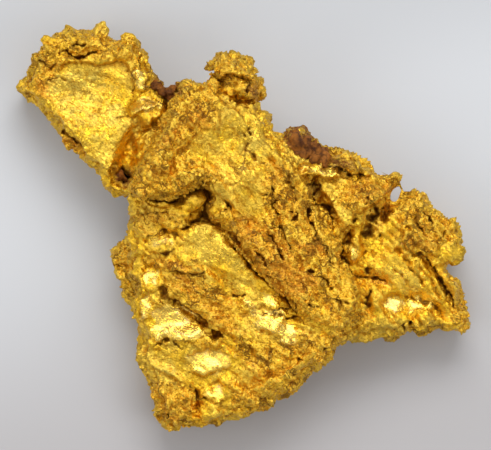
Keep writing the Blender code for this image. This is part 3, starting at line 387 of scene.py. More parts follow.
# Where each finish lies. Patches of one finish that overlap don't add up.
FINISHES = {
    "crust": [  # Sugary crust
        Patch([(-4.8, 8.2), (-3.9, 9.7), (-1.8, 10.0), (-1.6, 8.6), (-1.9, 7.2), (-3.3, 6.1), (-4.8, 4.7), (-5.0, 3.4),
               (-4.4, 2.2), (-7.4, 2.2), (-7.2, 3.4), (-6.6, 4.6), (-5.7, 6.2)], 0.9),
        Patch([(-7.6, 1.0), (-4.6, 1.1), (-3.6, 0.2), (-4.4, -0.3), (-5.2, -0.1), (-6.5, -0.5), (-7.6, -0.5)], 0.5),
        Patch([(1.5, 4.2), (3.4, 4.4), (4.4, 3.0), (5.0, 1.2), (5.8, 0.0), (6.4, -1.6), (7.0, -3.0), (7.4, -4.4),
               (6.4, -6.4), (4.2, -6.2), (2.9, -4.6), (1.4, -3.4), (0.2, -2.2), (-1.0, -0.4), (-2.0, 0.6), (-1.4, 1.0),
               (-0.6, 0.6), (0.5, 0.0), (1.5, 1.0), (1.6, 2.6)], 0.9),
        Patch([(-6.2, -2.1), (-2.9, -2.3), (-2.5, -2.9), (-4.9, -2.9), (-6.3, -2.7)], 0.7, 0.2),
        Patch([(-5.2, -3.1), (-3.0, -3.3), (-0.6, -4.4), (0.2, -5.4), (-0.2, -7.4), (-1.4, -7.2), (-3.0, -5.8),
               (-5.2, -4.4)], 0.7),
        Patch([(-4.0, -7.4), (-1.3, -7.5), (-1.5, -8.0), (-4.0, -8.0)], 0.6),
        Patch([(-6.3, -10.3), (-3.4, -10.6), (-3.2, -13.4), (-5.9, -13.6)], 0.9),
        Patch([(0.4, -8.8), (3.0, -9.2), (4.6, -9.6), (3.6, -11.0), (1.4, -12.3), (-0.4, -12.6), (-0.6, -11.2),
               (1.4, -10.4)], 0.8),
        Patch([(3.4, -7.6), (5.2, -7.0), (6.4, -7.8), (5.8, -9.0), (4.4, -9.8), (3.2, -8.6)], 0.7),
        Patch([(-15.2, 9.4), (-14.2, 11.8), (-12.8, 13.0), (-9.8, 13.4), (-8.6, 12.2), (-7.6, 12.9), (-6.2, 11.6),
               (-6.8, 10.4), (-7.6, 11.2), (-9.6, 10.9), (-11.6, 11.2), (-13.0, 9.6), (-14.4, 8.6)], 0.6),
        Patch([(-2.4, 10.4), (-2.0, 11.5), (0.5, 11.5), (1.2, 9.8), (1.5, 8.6), (0.6, 8.1), (-1.4, 8.6)], 0.85),
        Patch([(5.0, 5.6), (8.4, 4.9), (10.6, 3.6), (10.2, 2.2), (8.8, 1.6), (7.4, 1.9), (7.0, 3.0), (8.2, 3.3),
               (6.4, 3.8), (5.2, 4.3)], 0.85),
        Patch([(10.6, 2.4), (12.4, 2.4), (14.6, 0.2), (14.7, -1.0), (13.0, -1.0), (12.3, -1.8), (11.0, -1.4),
               (10.6, 0.2)], 0.85),
        Patch([(13.6, -3.4), (14.5, -3.4), (15.2, -6.4), (14.6, -7.2), (14.0, -6.4), (14.2, -4.9)], 0.8),
        Patch([(6.0, 3.0), (8.9, 3.0), (8.8, 1.6), (7.6, 0.9), (6.2, 1.4)], 0.9, 0.3),
        Patch([(-11.8, 9.2), (-9.0, 9.6), (-8.4, 8.2), (-9.6, 7.4), (-11.6, 7.8)], 0.45, 0.4),
        Patch([(6.2, -6.0), (8.0, -5.2), (9.0, -6.2), (8.0, -6.9), (6.6, -7.6), (5.6, -7.4)], 0.7),
        Patch([(-8.9, -1.4), (-7.7, -0.8), (-7.5, -5.4), (-8.0, -5.0)], 0.75),
        Patch([(-5.2, 4.0), (-3.8, 4.6), (-2.4, 4.2), (-1.6, 3.4), (-2.2, 2.9), (-4.4, 2.2)], 0.7, 0.2),
        Patch([(-2.4, 4.9), (-0.6, 5.4), (1.4, 4.9), (0.9, 2.9), (-0.9, 2.7), (-2.3, 3.7)], 0.6, 0.5),
        Patch([(0.0, -7.3), (2.2, -7.2), (3.4, -8.0), (3.0, -9.2), (0.6, -9.4), (-0.4, -8.4)], 0.8, 0.4),
    ],
    "rust": [  # Brown stain over the crust
        Patch([(-3.6, 8.0), (-2.6, 8.1), (-2.2, 7.2), (-2.9, 6.4), (-3.4, 6.7), (-4.2, 6.6), (-4.6, 5.4), (-5.4, 4.8),
               (-6.0, 4.4), (-5.6, 6.0), (-4.8, 7.2)], 0.7, 0.5),
        Patch([(-6.6, 4.2), (-5.0, 4.4), (-5.1, 3.4), (-5.6, 3.0), (-6.4, 3.2)], 0.75, 0.4),
        Patch([(-6.8, 2.9), (-5.8, 3.0), (-5.8, 2.2), (-6.7, 2.3)], 0.6, 0.4),
        Patch([(-7.2, 1.0), (-5.2, 0.9), (-4.6, 0.3), (-5.4, 0.1), (-7.1, 0.3)], 0.35, 0.3),
        Patch([(-0.6, 0.6), (1.2, 0.2), (2.4, -0.4), (3.4, -1.6), (4.6, -2.6), (4.9, -4.0), (3.6, -4.8), (2.4, -4.2),
               (1.2, -3.0), (0.2, -2.0), (-0.8, -0.6)], 0.8, 0.4),
        Patch([(3.4, -0.8), (5.2, -1.0), (5.4, -2.0), (4.0, -2.2)], 0.65, 0.4),
        Patch([(1.5, 4.2), (3.4, 4.3), (3.8, 3.0), (2.8, 2.2), (1.6, 2.8)], 0.35, 0.4),
        Patch([(2.2, 2.2), (4.2, 2.0), (4.4, 0.2), (2.8, 0.2)], 0.6, 0.5),
        Patch([(7.0, 3.0), (9.5, 2.9), (9.7, 2.0), (9.0, 1.5), (7.2, 1.7)], 0.8, 0.35),
        Patch([(5.0, 5.2), (6.2, 4.8), (6.0, 4.1), (5.0, 4.2)], 0.95, 0.25),
        Patch([(6.2, 4.1), (7.2, 4.0), (7.0, 3.6), (6.2, 3.8)], 0.8, 0.2),
        Patch([(-6.2, -2.2), (-4.0, -2.3), (-3.4, -2.8), (-6.0, -2.8)], 0.75, 0.25),
        Patch([(-5.2, -3.2), (-3.2, -3.4), (-3.4, -4.6), (-4.8, -4.2)], 0.65, 0.4),
        Patch([(-3.0, -4.8), (-0.6, -4.6), (-0.6, -6.8), (-2.2, -6.4)], 0.6, 0.4),
        Patch([(-6.0, -10.8), (-4.2, -10.8), (-3.8, -13.0), (-5.6, -13.2)], 0.45, 0.4),
        Patch([(0.6, -9.0), (2.5, -9.2), (2.4, -10.2), (0.8, -10.2)], 0.45, 0.4),
        Patch([(2.0, -10.6), (3.4, -10.5), (3.0, -11.4), (2.0, -11.3)], 0.4, 0.3),
        Patch([(-13.8, 9.9), (-12.7, 9.9), (-12.7, 8.7), (-14.0, 8.6)], 0.65, 0.3),
        Patch([(-13.6, 11.0), (-12.0, 11.0), (-12.2, 10.2), (-13.4, 10.2)], 0.6, 0.3),
        Patch([(-15.2, 9.3), (-13.2, 7.4), (-13.5, 7.2), (-15.3, 9.0)], 0.9, 0.2),
        Patch([(-12.4, 6.4), (-10.6, 4.9), (-10.8, 4.5), (-12.6, 6.0)], 0.8, 0.2),
        Patch([(0.3, 9.6), (1.0, 9.7), (1.5, 8.8), (1.1, 8.2), (0.3, 8.4)], 0.95, 0.25),
        Patch([(11.0, -0.8), (12.8, -0.9), (12.4, -1.7), (11.1, -1.4)], 0.65, 0.3),
        Patch([(9.0, 1.5), (9.9, 1.5), (9.8, 0.3), (9.1, 0.2)], 0.95, 0.2),
        Patch([(8.2, -3.3), (9.8, -3.3), (9.8, -4.0), (8.4, -3.8)], 0.8, 0.2),
    ],
    "earth": [  # Brown iron earth round the ironstone and in the deepest holes
        Patch([(3.0, 6.5), (4.4, 6.3), (5.2, 5.2), (6.2, 4.6), (7.3, 4.2), (7.6, 3.8), (6.6, 3.9), (5.4, 4.2),
               (4.4, 4.6), (3.2, 5.2), (2.6, 5.8)], 0.9, 0.2),
        Patch([(3.9, 3.0), (5.0, 3.0), (5.2, 1.9), (4.4, 2.2)], 0.7, 0.2),
        Patch([(-6.2, 10.0), (-5.2, 9.4), (-3.9, 9.3), (-3.8, 8.6), (-4.9, 8.3), (-5.9, 8.9)], 0.8, 0.2),
        Patch([(-8.8, 3.7), (-7.7, 3.9), (-7.4, 3.0), (-8.0, 2.6), (-8.8, 2.9)], 0.95, 0.12),
        Patch([(0.3, 9.4), (0.9, 9.6), (1.3, 8.9), (1.0, 8.3), (0.4, 8.5)], 0.6, 0.2),
    ],
    "painted_reflection": [  # Painted reflection: deep orange where the metal mirrors itself in its folds
        Patch([(-1.5, 9.2), (-1.1, 8.9), (0.4, 8.9), (0.5, 8.2), (-0.9, 8.2), (-1.5, 8.7)], 0.9, 0.25),
        Patch([(-6.0, 6.9), (-6.9, 6.4), (-7.5, 5.4), (-7.8, 4.3), (-7.2, 4.1), (-7.0, 5.2), (-6.4, 6.1)], 0.65, 0.3),
        Patch([(-4.6, -0.1), (-3.4, 0.1), (-3.3, -0.4), (-4.2, -0.6)], 0.5, 0.2),
        Patch([(5.1, 2.3), (5.7, 2.3), (5.8, 1.5), (5.1, 1.5)], 0.7, 0.2),
        Patch([(10.6, 0.1), (11.15, 0.0), (11.1, -0.4), (10.6, -0.4)], 0.8, 0.12),
        Patch([(10.0, -1.4), (10.7, -1.3), (10.6, -2.1), (10.1, -2.1)], 0.7, 0.15),
        Patch([(7.8, -1.6), (8.4, -1.6), (8.3, -2.2), (7.9, -2.2)], 0.8, 0.15),
        Patch([(12.8, -5.3), (13.5, -5.4), (13.6, -6.6), (13.0, -6.2)], 0.6, 0.2),
        Patch([(-3.3, -11.5), (-2.5, -11.6), (-2.4, -13.0), (-3.2, -13.2)], 0.6, 0.25),
        Patch([(0.1, -7.8), (0.8, -7.8), (0.9, -8.9), (0.3, -8.9)], 0.4, 0.2),
        Patch([(13.1, -1.4), (13.6, -1.6), (13.8, -2.5), (13.2, -2.3)], 0.5, 0.25),
        Patch([(-8.3, -2.8), (-7.6, -2.8), (-7.6, -4.2), (-8.1, -4.2)], 0.45, 0.25),
    ],
    "tarnish": [  # Grey-green tarnish
        Patch([(-12.6, 10.2), (-9.0, 10.4), (-8.0, 8.6), (-8.2, 5.0), (-10.2, 5.2), (-13.0, 8.6)], 0.6, 0.5),
        Patch([(-2.4, 6.6), (0.8, 7.4), (1.6, 5.6), (0.4, 3.4), (-2.2, 4.6)], 0.4, 0.5),
        Patch([(-13.0, 8.9), (-11.0, 8.9), (-11.2, 8.2), (-12.8, 8.2)], 0.4, 0.4),
        Patch([(-6.6, 4.9), (-6.2, 4.9), (-6.4, 4.1), (-6.8, 4.2)], 0.5, 0.2),
        Patch([(-2.0, 2.6), (-1.2, 2.4), (-1.3, 1.7), (-1.9, 1.8)], 0.35, 0.25),
        Patch([(-6.0, -9.1), (-4.3, -9.2), (-4.4, -9.9), (-6.1, -9.8)], 0.5, 0.3),
        Patch([(-2.3, -9.9), (-1.5, -9.9), (-1.5, -10.6), (-2.3, -10.6)], 0.5, 0.2),
        Patch([(9.0, -6.3), (10.8, -6.2), (10.7, -7.4), (9.0, -7.4)], 0.5, 0.3),
        Patch([(7.0, -7.0), (8.6, -7.0), (8.4, -7.8), (7.0, -7.8)], 0.5, 0.2),
        Patch([(12.9, -0.9), (14.6, -0.9), (14.8, -2.2), (13.9, -2.7), (13.1, -2.2)], 0.35, 0.25),
    ],
    "polish": [  # Rubbed smooth metal, painted paler where the glints lie, partly as a painted highlight
        Patch([(-11.4, 7.4), (-8.0, 7.3), (-7.4, 6.2), (-8.4, 4.6), (-10.2, 5.0), (-11.2, 5.8)], 0.2, 0.5),
        Patch([(-12.4, 10.0), (-11.4, 10.8), (-8.6, 10.6), (-7.6, 9.8), (-7.6, 7.8), (-11.6, 7.6)], 0.1, 0.5),
        Patch([(-7.3, 10.3), (-6.8, 10.3), (-6.7, 9.1), (-7.3, 9.1)], 1.0, 0.12),
        Patch([(-6.1, 6.3), (-5.6, 6.3), (-6.7, 4.0), (-7.3, 3.7), (-7.2, 4.2), (-6.8, 5.4)], 0.3, 0.15),
        Patch([(-5.3, 8.1), (-6.2, 8.7), (-7.3, 8.6), (-7.4, 7.7), (-6.4, 7.5), (-5.3, 7.6)], 0.6, 0.15),
        Patch([(-4.2, 5.0), (-2.6, 6.2), (0.0, 7.6), (1.6, 7.0), (1.6, 5.0), (0.4, 2.4), (-1.4, 2.8), (-3.0, 4.4),
               (-4.2, 4.6)], 0.2, 0.4),
        Patch([(-6.2, -0.75), (-5.0, -0.4), (-4.4, -0.8), (-5.2, -1.4), (-6.6, -1.5)], 0.6, 0.2),
        Patch([(-6.75, -3.2), (-6.1, -2.75), (-5.75, -3.0), (-6.0, -3.7), (-6.5, -4.2)], 0.75, 0.12),
        Patch([(-6.95, -4.9), (-6.4, -4.6), (-6.2, -5.2), (-6.5, -6.1), (-6.9, -6.2)], 1.0, 0.12),
        Patch([(-6.3, -5.8), (-5.2, -5.3), (-4.0, -5.4), (-3.1, -6.0), (-2.6, -7.2), (-4.2, -7.6),
               (-5.9, -7.4)], 1.0, 0.25),
        Patch([(-3.6, -1.0), (-1.8, -0.4), (-0.4, -2.4), (0.2, -3.0), (-1.6, -2.6), (-3.4, -2.0)], 0.4, 0.3),
        Patch([(-4.2, -8.5), (-2.4, -8.0), (-1.0, -8.3), (-0.8, -9.4), (-1.8, -10.1), (-3.4, -9.8)], 0.65, 0.3),
        Patch([(-2.8, -10.6), (-1.0, -10.6), (-0.9, -11.5), (-2.6, -11.6)], 0.6, 0.2),
        Patch([(0.0, -4.6), (0.3, -4.7), (1.1, -5.8), (0.8, -5.95), (0.2, -5.4)], 1.0, 0.08),
        Patch([(1.3, -4.4), (2.3, -4.6), (2.4, -5.4), (1.4, -5.2)], 0.8, 0.15),
        Patch([(2.3, -6.3), (3.4, -6.4), (3.8, -7.2), (3.3, -7.8), (2.4, -7.6)], 0.9, 0.15),
        Patch([(0.7, -5.7), (2.3, -5.4), (2.9, -6.3), (2.1, -7.2), (0.9, -6.8)], 0.85, 0.3),
        Patch([(3.6, 4.0), (6.5, 4.0), (6.5, 3.5), (3.8, 3.4)], 0.6, 0.12),
        Patch([(6.9, -1.3), (7.7, -1.4), (7.7, -2.6), (7.1, -2.6)], 0.6, 0.15),
        Patch([(8.9, -5.1), (9.5, -4.9), (9.9, -4.5), (10.1, -4.9), (10.8, -4.7), (10.5, -5.3), (10.2, -5.9),
               (9.7, -5.5)], 0.95, 0.15),
        Patch([(10.8, -4.9), (11.4, -4.7), (11.9, -5.0), (12.7, -5.1), (12.3, -5.6), (11.5, -5.6),
               (11.0, -5.9)], 0.95, 0.15),
        Patch([(8.6, -2.4), (10.4, -2.2), (13.2, -5.2), (12.4, -5.2), (9.8, -4.2), (8.8, -4.0)], 0.45, 0.3),
        Patch([(10.3, -0.8), (10.7, -0.8), (10.7, -1.05), (10.3, -1.05)], 1.0, 0.08),
    ],
    "foil": [  # Smooth beaten metal
        Patch([(-12.6, 9.6), (-11.6, 10.8), (-10.5, 10.9), (-9.5, 10.6), (-8.6, 11.0), (-7.7, 10.4), (-7.5, 8.8),
               (-7.3, 7.4), (-6.6, 6.9), (-7.3, 5.6), (-8.2, 4.4), (-10.0, 4.6), (-11.2, 5.6), (-12.2, 7.2),
               (-13.0, 8.4)], 0.9, 0.3),
        Patch([(-6.0, 6.9), (-5.6, 6.4), (-6.4, 5.0), (-7.0, 3.9), (-7.9, 4.3), (-7.5, 5.4), (-6.9, 6.4)], 1.0, 0.2),
        Patch([(-4.0, 4.8), (-3.0, 5.8), (-1.6, 7.3), (0.6, 7.6), (1.7, 7.0), (1.7, 5.2), (1.2, 3.0), (1.7, 0.8),
               (0.6, 0.2), (-0.6, 0.7), (-1.4, 1.6), (-1.7, 3.2), (-2.8, 4.3)], 0.7, 0.3),
        Patch([(-3.6, -0.9), (-2.4, -0.2), (-1.2, -1.0), (0.0, -2.8), (1.4, -4.2), (3.4, -6.0), (3.8, -7.4),
               (2.4, -7.8), (0.6, -6.2), (-0.4, -4.2), (-2.0, -3.0), (-3.8, -1.8)], 0.75, 0.3),
        Patch([(-6.2, -5.6), (-4.8, -5.3), (-3.2, -6.0), (-2.6, -7.0), (-4.0, -7.6), (-6.0, -7.4),
               (-6.8, -6.6)], 0.9, 0.25),
        Patch([(-6.8, -2.8), (-5.5, -2.8), (-5.4, -4.2), (-6.2, -5.4), (-7.0, -5.6)], 0.8, 0.25),
        Patch([(-6.6, -0.8), (-4.6, -0.5), (-4.4, -1.2), (-6.4, -1.7)], 0.9, 0.2),
        Patch([(-5.8, -7.8), (-3.9, -8.0), (-0.9, -8.1), (-0.6, -10.0), (-1.0, -11.6), (-2.9, -11.3), (-3.6, -10.2),
               (-5.2, -9.0)], 0.75, 0.3),
        Patch([(8.8, -2.2), (10.4, -1.9), (12.4, -2.4), (14.2, -5.0), (13.4, -6.4), (11.0, -5.8), (9.2, -5.6),
               (9.0, -4.0)], 0.6, 0.3),
        Patch([(3.6, 4.1), (6.6, 4.1), (6.8, 3.4), (3.8, 3.3)], 0.7, 0.15),
        Patch([(-5.2, 8.5), (-5.2, 7.2), (-6.6, 7.2), (-7.5, 7.4), (-7.3, 8.6), (-6.2, 8.8)], 0.7, 0.2),
        Patch([(13.0, -1.2), (14.8, -1.2), (14.9, -2.4), (13.9, -2.7), (13.1, -2.3)], 0.9, 0.2),
    ],
}

# Where the metal's streaks run: middle, half size, direction in degrees from +X, and strength.
STREAKS = [
    ((-0.6, 3.6), 4.6, -56.0, 0.9),
    ((-3.2, -4.0), 5.5, -32.0, 1.0),
    ((11.5, -3.6), 3.6, -52.0, 1.0),
    ((-9.6, 8.0), 3.6, -24.0, 0.5),
    ((4.0, -1.4), 3.2, -60.0, 1.0),
]

# ---- Noise. Each field is a fixed function of the place and a seed.

CLEAR_OF_ZERO = 100.0  # moves the noise's cells away from 0, in cells
AXIS_PRIMES = (73856093, 19349663, 83492791)
SEED_PRIME = 2654435761
STIRS = ((15, 2246822519), (13, 3266489917))  # the shift and the multiplier of each stir of the hash
LAST_SHIFT = 16
BITS_32, BITS_24 = np.uint64(0xFFFFFFFF), np.uint64(0xFFFFFF)
WAVE_GAIN = 1.8  # brings the waves to about -1 to 1
RIDGE_FADE, RIDGE_TOP, RIDGE_GAIN = 0.55, 0.45, 1.9


def smoothstep(low, high, values):
    t = np.clip((values - low) / (high - low), 0.0, 1.0)
    return t * t * (3.0 - 2.0 * t)


def hashed(cells, seed):
    """A fixed number from 0 to 1 for each cell of whole numbers."""
    x, y, z = (cells[:, k].astype(np.uint64) * np.uint64(prime) for k, prime in enumerate(AXIS_PRIMES))
    h = (x ^ y ^ z ^ np.uint64(seed * SEED_PRIME)) & BITS_32
    for shift, factor in STIRS:
        h = ((h ^ (h >> np.uint64(shift))) * np.uint64(factor)) & BITS_32
    return ((h ^ (h >> np.uint64(LAST_SHIFT))) & BITS_24).astype(float) / float(BITS_24)


def hashed_vector(cells, seed):
    return np.stack([hashed(cells, seed + k) for k in (0, 101, 202)], axis=1)


def waves(points, wave, seed):
    """Smooth noise from about -1 to 1, with waves of this length."""
    p = points / wave + CLEAR_OF_ZERO
    base = np.floor(p)
    f = p - base
    u = f * f * f * (f * (f * 6.0 - 15.0) + 10.0)
    base = base.astype(np.int64)
    total = np.zeros(len(points))
    for corner in np.ndindex(2, 2, 2):
        corner = np.array(corner)
        slope = hashed_vector(base + corner, seed) * 2.0 - 1.0
        share = np.prod(np.where(corner, u, 1.0 - u), axis=1)
        total += share * np.sum((f - corner) * slope, axis=1)
    return total * WAVE_GAIN


def layered(points, wave, seed, layers=3, fade=0.5):
    return sum(fade**k * waves(points, wave / 2**k, seed + 17 * k) for k in range(layers))


def ridged(points, wave, seed, layers=2):
    """Sharp ridges between rounded hollows, from about -1 to 1."""
    return sum(
        RIDGE_FADE**k * (RIDGE_TOP - RIDGE_GAIN * np.abs(waves(points, wave / 2**k, seed + 13 * k)))
        for k in range(layers)
    )


def cells_around(points, size, seed):
    """For each of the 27 cells around each point: the way from the cell's grain, and the cell."""
    p = points / size + CLEAR_OF_ZERO
    base = np.floor(p).astype(np.int64)
    for step in np.ndindex(3, 3, 3):
        cell = base + (np.array(step) - 1)
        yield p - (cell + 0.1 + 0.8 * hashed_vector(cell, seed)), cell


def facets(points, size, seed, sharpness=9.0):
    """Crumpled metal: planes tilted each its own way, with rounded creases between them. In cells."""
    total = np.zeros(len(points))
    share = np.full(len(points), 1e-9)
    for away, cell in cells_around(points, size, seed):
        tilt = hashed_vector(cell, seed + 31) * 2.0 - 1.0
        weight = np.exp(-sharpness * np.sqrt(np.sum(away**2, axis=1)))
        total += weight * np.sum(away * tilt, axis=1)
        share += weight
    return total / share


def tilted_planes(points, size, slope, seed, sharpness=9.0):
    """The facets' height in millimetres, with planes of this size and steepness."""
    return slope * facets(points, size, seed, sharpness) * size


# ---- Places on the broad face ----


def turned(flat, at, degrees):
    """The points as seen from at, along and across a direction."""
    angle = math.radians(degrees)
    moved = flat - np.array(at)
    along = moved[:, 0] * math.cos(angle) + moved[:, 1] * math.sin(angle)
    across = moved[:, 1] * math.cos(angle) - moved[:, 0] * math.sin(angle)
    return along, across


def reach_in(flat, shape):
    """How far out each point lies in a turned ellipse: 1 is its edge."""
    along, across = turned(flat, shape.at, shape.turn)
    return np.hypot(along / shape.size[0], across / shape.size[1])


def near_points(flat, corners, margin):
    """The indices of the points within margin of the corners' box."""
    corners = np.array(corners)
    low, high = corners.min(axis=0) - margin, corners.max(axis=0) + margin
    return np.flatnonzero(np.all((flat > low) & (flat < high), axis=1))


def along_path(flat, path):
    """(distance from the path, distance with a sign: above 0 on its left, share of the way along)."""
    path = np.array(path)
    lengths = np.linalg.norm(np.diff(path, axis=0), axis=1)
    starts = np.concatenate([[0.0], np.cumsum(lengths)])
    nearest = np.full(len(flat), np.inf)
    side = np.zeros(len(flat))
    share = np.zeros(len(flat))
    for k, length in enumerate(lengths):
        run = (path[k + 1] - path[k]) / length
        moved = flat - path[k]
        t = np.clip(moved @ run, 0.0, length)
        off = moved - t[:, None] * run
        gap = np.linalg.norm(off, axis=1)
        closer = gap < nearest
        nearest = np.where(closer, gap, nearest)
        side = np.where(closer, np.sign(run[0] * moved[:, 1] - run[1] * moved[:, 0]), side)
        share = np.where(closer, (starts[k] + t) / starts[-1], share)
    return nearest, nearest * side, share


def inside_outline(flat, outline):
    """The distance from the outline's edge, above 0 inside it."""
    corners = np.array(outline)
    nearest, _, _ = along_path(flat, np.vstack([corners, corners[:1]]))
    inside = np.zeros(len(flat), bool)
    for (x0, y0), (x1, y1) in zip(corners, np.roll(corners, -1, axis=0)):
        if y0 == y1:
            continue
        crosses = (y0 > flat[:, 1]) != (y1 > flat[:, 1])
        inside ^= crosses & (flat[:, 0] < (x1 - x0) * (flat[:, 1] - y0) / (y1 - y0) + x0)
    return np.where(inside, nearest, -nearest)


def resampled(outline, step):
    """Points at even steps round a closed outline."""
    corners = np.array([*outline, outline[0]])
    reach = np.concatenate([[0.0], np.cumsum(np.linalg.norm(np.diff(corners, axis=0), axis=1))])
    spots = np.arange(0.0, reach[-1], step)
    return np.stack([np.interp(spots, reach, corners[:, k]) for k in (0, 1)], axis=1)


def fitted_to_outline(points, outline, step=0.1, window=0.15, band=1.6, reach=0.9, most=0.6, room=0.08):
    """(the points, moved sideways near the edge until the silhouette follows the outline, nearness to the edge).

    Each step of the outline is met by the points within the window on either side of it. Nothing moves
    further than most, or from further than reach inside the edge. The room is left for the lobes.
    """
    spots = resampled(outline, step)
    ahead = np.roll(spots, -2, axis=0) - np.roll(spots, 2, axis=0)
    outward = np.stack([-ahead[:, 1], ahead[:, 0]], axis=1)
    outward /= np.linalg.norm(outward, axis=1)[:, None]
    along = np.stack([outward[:, 1], -outward[:, 0]], axis=1)
    some = np.flatnonzero(np.abs(inside_outline(points[:, :2], outline)) < band)
    flat = points[some, :2]
    tree = KDTree(len(spots))
    for k, spot in enumerate(spots):
        tree.insert((*spot, 0.0), k)
    tree.balance()
    nearest = np.array([tree.find((x, y, 0.0))[1] for x, y in flat])
    away = flat - spots[nearest]
    over = np.sum(away * outward[nearest], axis=1)
    beside = np.abs(np.sum(away * along[nearest], axis=1))
    extent = np.full(len(spots), -most)
    level = beside < window
    np.maximum.at(extent, nearest[level], over[level])
    extent = np.clip(extent - room, -most, most)
    for _ in range(2):
        extent = 0.5 * extent + 0.25 * (np.roll(extent, 1) + np.roll(extent, -1))
    fade = 1.0 - smoothstep(0.15, reach, -over)
    moved = points.copy()
    moved[some, :2] -= (extent[nearest] * fade)[:, None] * outward[nearest]
    edge = np.zeros(len(points))
    edge[some] = fade
    return moved, edge


# ---- What the tables above do to the face ----

EDGE_START, EDGE_END = -0.1, 0.06  # a step rises between these distances from its path
FALL = 0.5  # how far the lower side of a step sinks, as a share of its height


def ends_taper(share, part=0.12):
    return smoothstep(0.0, part, share) * smoothstep(0.0, part, 1.0 - share)


def step_heights(flat):
    total = np.zeros(len(flat))
    for scarp in SCARPS.values():
        some = near_points(flat, scarp.path, scarp.reach)
        _, signed, share = along_path(flat[some], scarp.path)
        above = smoothstep(EDGE_START, EDGE_END, signed)
        rise = above * (1.0 - smoothstep(-EDGE_START, scarp.reach, signed))
        fall = smoothstep(-scarp.reach, EDGE_START, signed) * (1.0 - above)
        total[some] += scarp.height * (rise - FALL * fall) * ends_taper(share, 0.15)
    return total


def crack_depths(flat, fray):
    """(depth of the cracks, dirt and painted shade in them). The fray, about 0 to 1, widens and closes them."""
    depth = np.zeros(len(flat))
    dirt_and_shade = np.zeros(len(flat))
    for crack in CRACKS.values():
        some = near_points(flat, crack.path, 3.0 * crack.half_width + 0.1)
        gap, _, share = along_path(flat[some], crack.path)
        taper = 0.3 + 0.7 * ends_taper(share)
        width = crack.half_width * taper * (0.15 + 0.85 * fray[some]) + 0.025
        profile = 1.0 - smoothstep(0.1, 1.0, gap / width)
        depth[some] += crack.depth * profile * taper * (0.7 + 0.5 * fray[some])
        spread = 1.0 - smoothstep(0.3, 1.2, gap / width)
        dirt_and_shade[some] = np.maximum(dirt_and_shade[some], crack.dirt_and_shade * spread)
    return depth, dirt_and_shade


def hole_depths(flat):
    """(depth of the pits and hollows, dirt and painted shade in them)."""
    pits, hollows = np.zeros(len(flat)), np.zeros(len(flat))
    dirt_and_shade = np.zeros(len(flat))
    for pit in PITS.values():
        some = near_points(flat, [pit.at], 1.7 * max(pit.size))
        reach = reach_in(flat[some], pit)
        pits[some] += pit.depth * (1.0 - smoothstep(0.25, 1.15, reach))
        dirt_and_shade[some] = np.maximum(dirt_and_shade[some], pit.dirt_and_shade * (1.0 - smoothstep(0.5, 1.2, reach)))
    for hollow in HOLLOWS.values():
        some = near_points(flat, hollow.outline, 0.4)
        inside = inside_outline(flat[some], hollow.outline)
        hollows[some] += hollow.depth * smoothstep(-0.06, 0.16, inside)
        dirt_and_shade[some] = np.maximum(dirt_and_shade[some], hollow.dirt_and_shade * smoothstep(-0.1, 0.1, inside))
    return pits + hollows, dirt_and_shade


def filled(points, normals):
    """How far the fills lift each point."""
    lift = np.zeros(len(points))
    for fill in FILLS.values():
        some = near_points(points[:, :2], [fill.at], fill.reach)
        moved = points[some, :2] - np.array(fill.at)
        near = 1.0 - smoothstep(0.5 * fill.reach, fill.reach, np.linalg.norm(moved, axis=1))
        short = fill.height + moved @ np.array(fill.slope) - points[some, 2]
        reached = near * (normals[some, 2] > -0.3) * (points[some, 2] > 2.0)
        lift[some] += np.where(short < 0.0, fill.pressed * short, short) * reached
    return lift


def facet_heights(flat, frayed):
    total = np.zeros(len(flat))
    for facet in FACETS.values():
        some = near_points(flat, [facet.at], 1.8 * max(facet.size))
        plane = (flat[some] - np.array(facet.at)) @ np.array(facet.slope)
        total[some] += plane * (1.0 - smoothstep(0.8, 1.4, reach_in(frayed[some], facet)))
    return total


def finish_masks(flat):
    masks = {finish: np.zeros(len(flat)) for finish in FINISHES}
    for finish, patches in FINISHES.items():
        mask = masks[finish]
        for patch in patches:
            some = near_points(flat, patch.outline, patch.softness * 1.5)
            inside = inside_outline(flat[some], patch.outline)
            mask[some] = np.maximum(mask[some], patch.amount * smoothstep(-patch.softness, patch.softness, inside))
    return masks


def drawn_out(points, field, along_by=0.3, across_by=1.25):
    """The field, drawn out along the metal's streaks. It is blended where two directions meet."""
    flat = points[:, :2]
    shares = np.stack(
        [np.exp(-np.sum((flat - np.array(at)) ** 2, axis=1) / (0.5 * reach**2)) for at, reach, _, _ in STREAKS]
    )
    shares = (shares + 1e-6) ** 3
    shares /= shares.sum(axis=0)
    total = np.zeros(len(points))
    for share, (at, _, degrees, strength) in zip(shares, STREAKS):
        some = np.flatnonzero(share > 0.03)
        along, across = turned(flat[some], at, degrees)
        pulled = np.stack([along * along_by, across * across_by, points[some, 2]], axis=1)
        total[some] += strength * share[some] * field(pulled)
    return total


# ---- Meshes ----


def select_only(obj):
    if bpy.context.object and bpy.context.object.mode != "OBJECT":
        bpy.ops.object.mode_set(mode="OBJECT")
    bpy.ops.object.select_all(action="DESELECT")
    obj.select_set(True)
    bpy.context.view_layer.objects.active = obj


def apply_all(obj):
    select_only(obj)
    for modifier in list(obj.modifiers):
        bpy.ops.object.modifier_apply(modifier=modifier.name)


def arrays_of(mesh):
    """(points in millimetres, vertex normals) of a mesh."""
    points = np.empty(len(mesh.vertices) * 3, np.float32)
    normals = np.empty_like(points)
    mesh.vertices.foreach_get("co", points)
    mesh.vertices.foreach_get("normal", normals)
    return points.reshape(-1, 3).astype(float) / MM, normals.reshape(-1, 3).astype(float)


def put_points(mesh, points):
    mesh.vertices.foreach_set("co", (points * MM).astype(np.float32).ravel())
    mesh.update()


def edges_of(mesh):
    ends = np.empty(len(mesh.edges) * 2, np.int32)
    mesh.edges.foreach_get("vertices", ends)
    return ends.reshape(-1, 2)


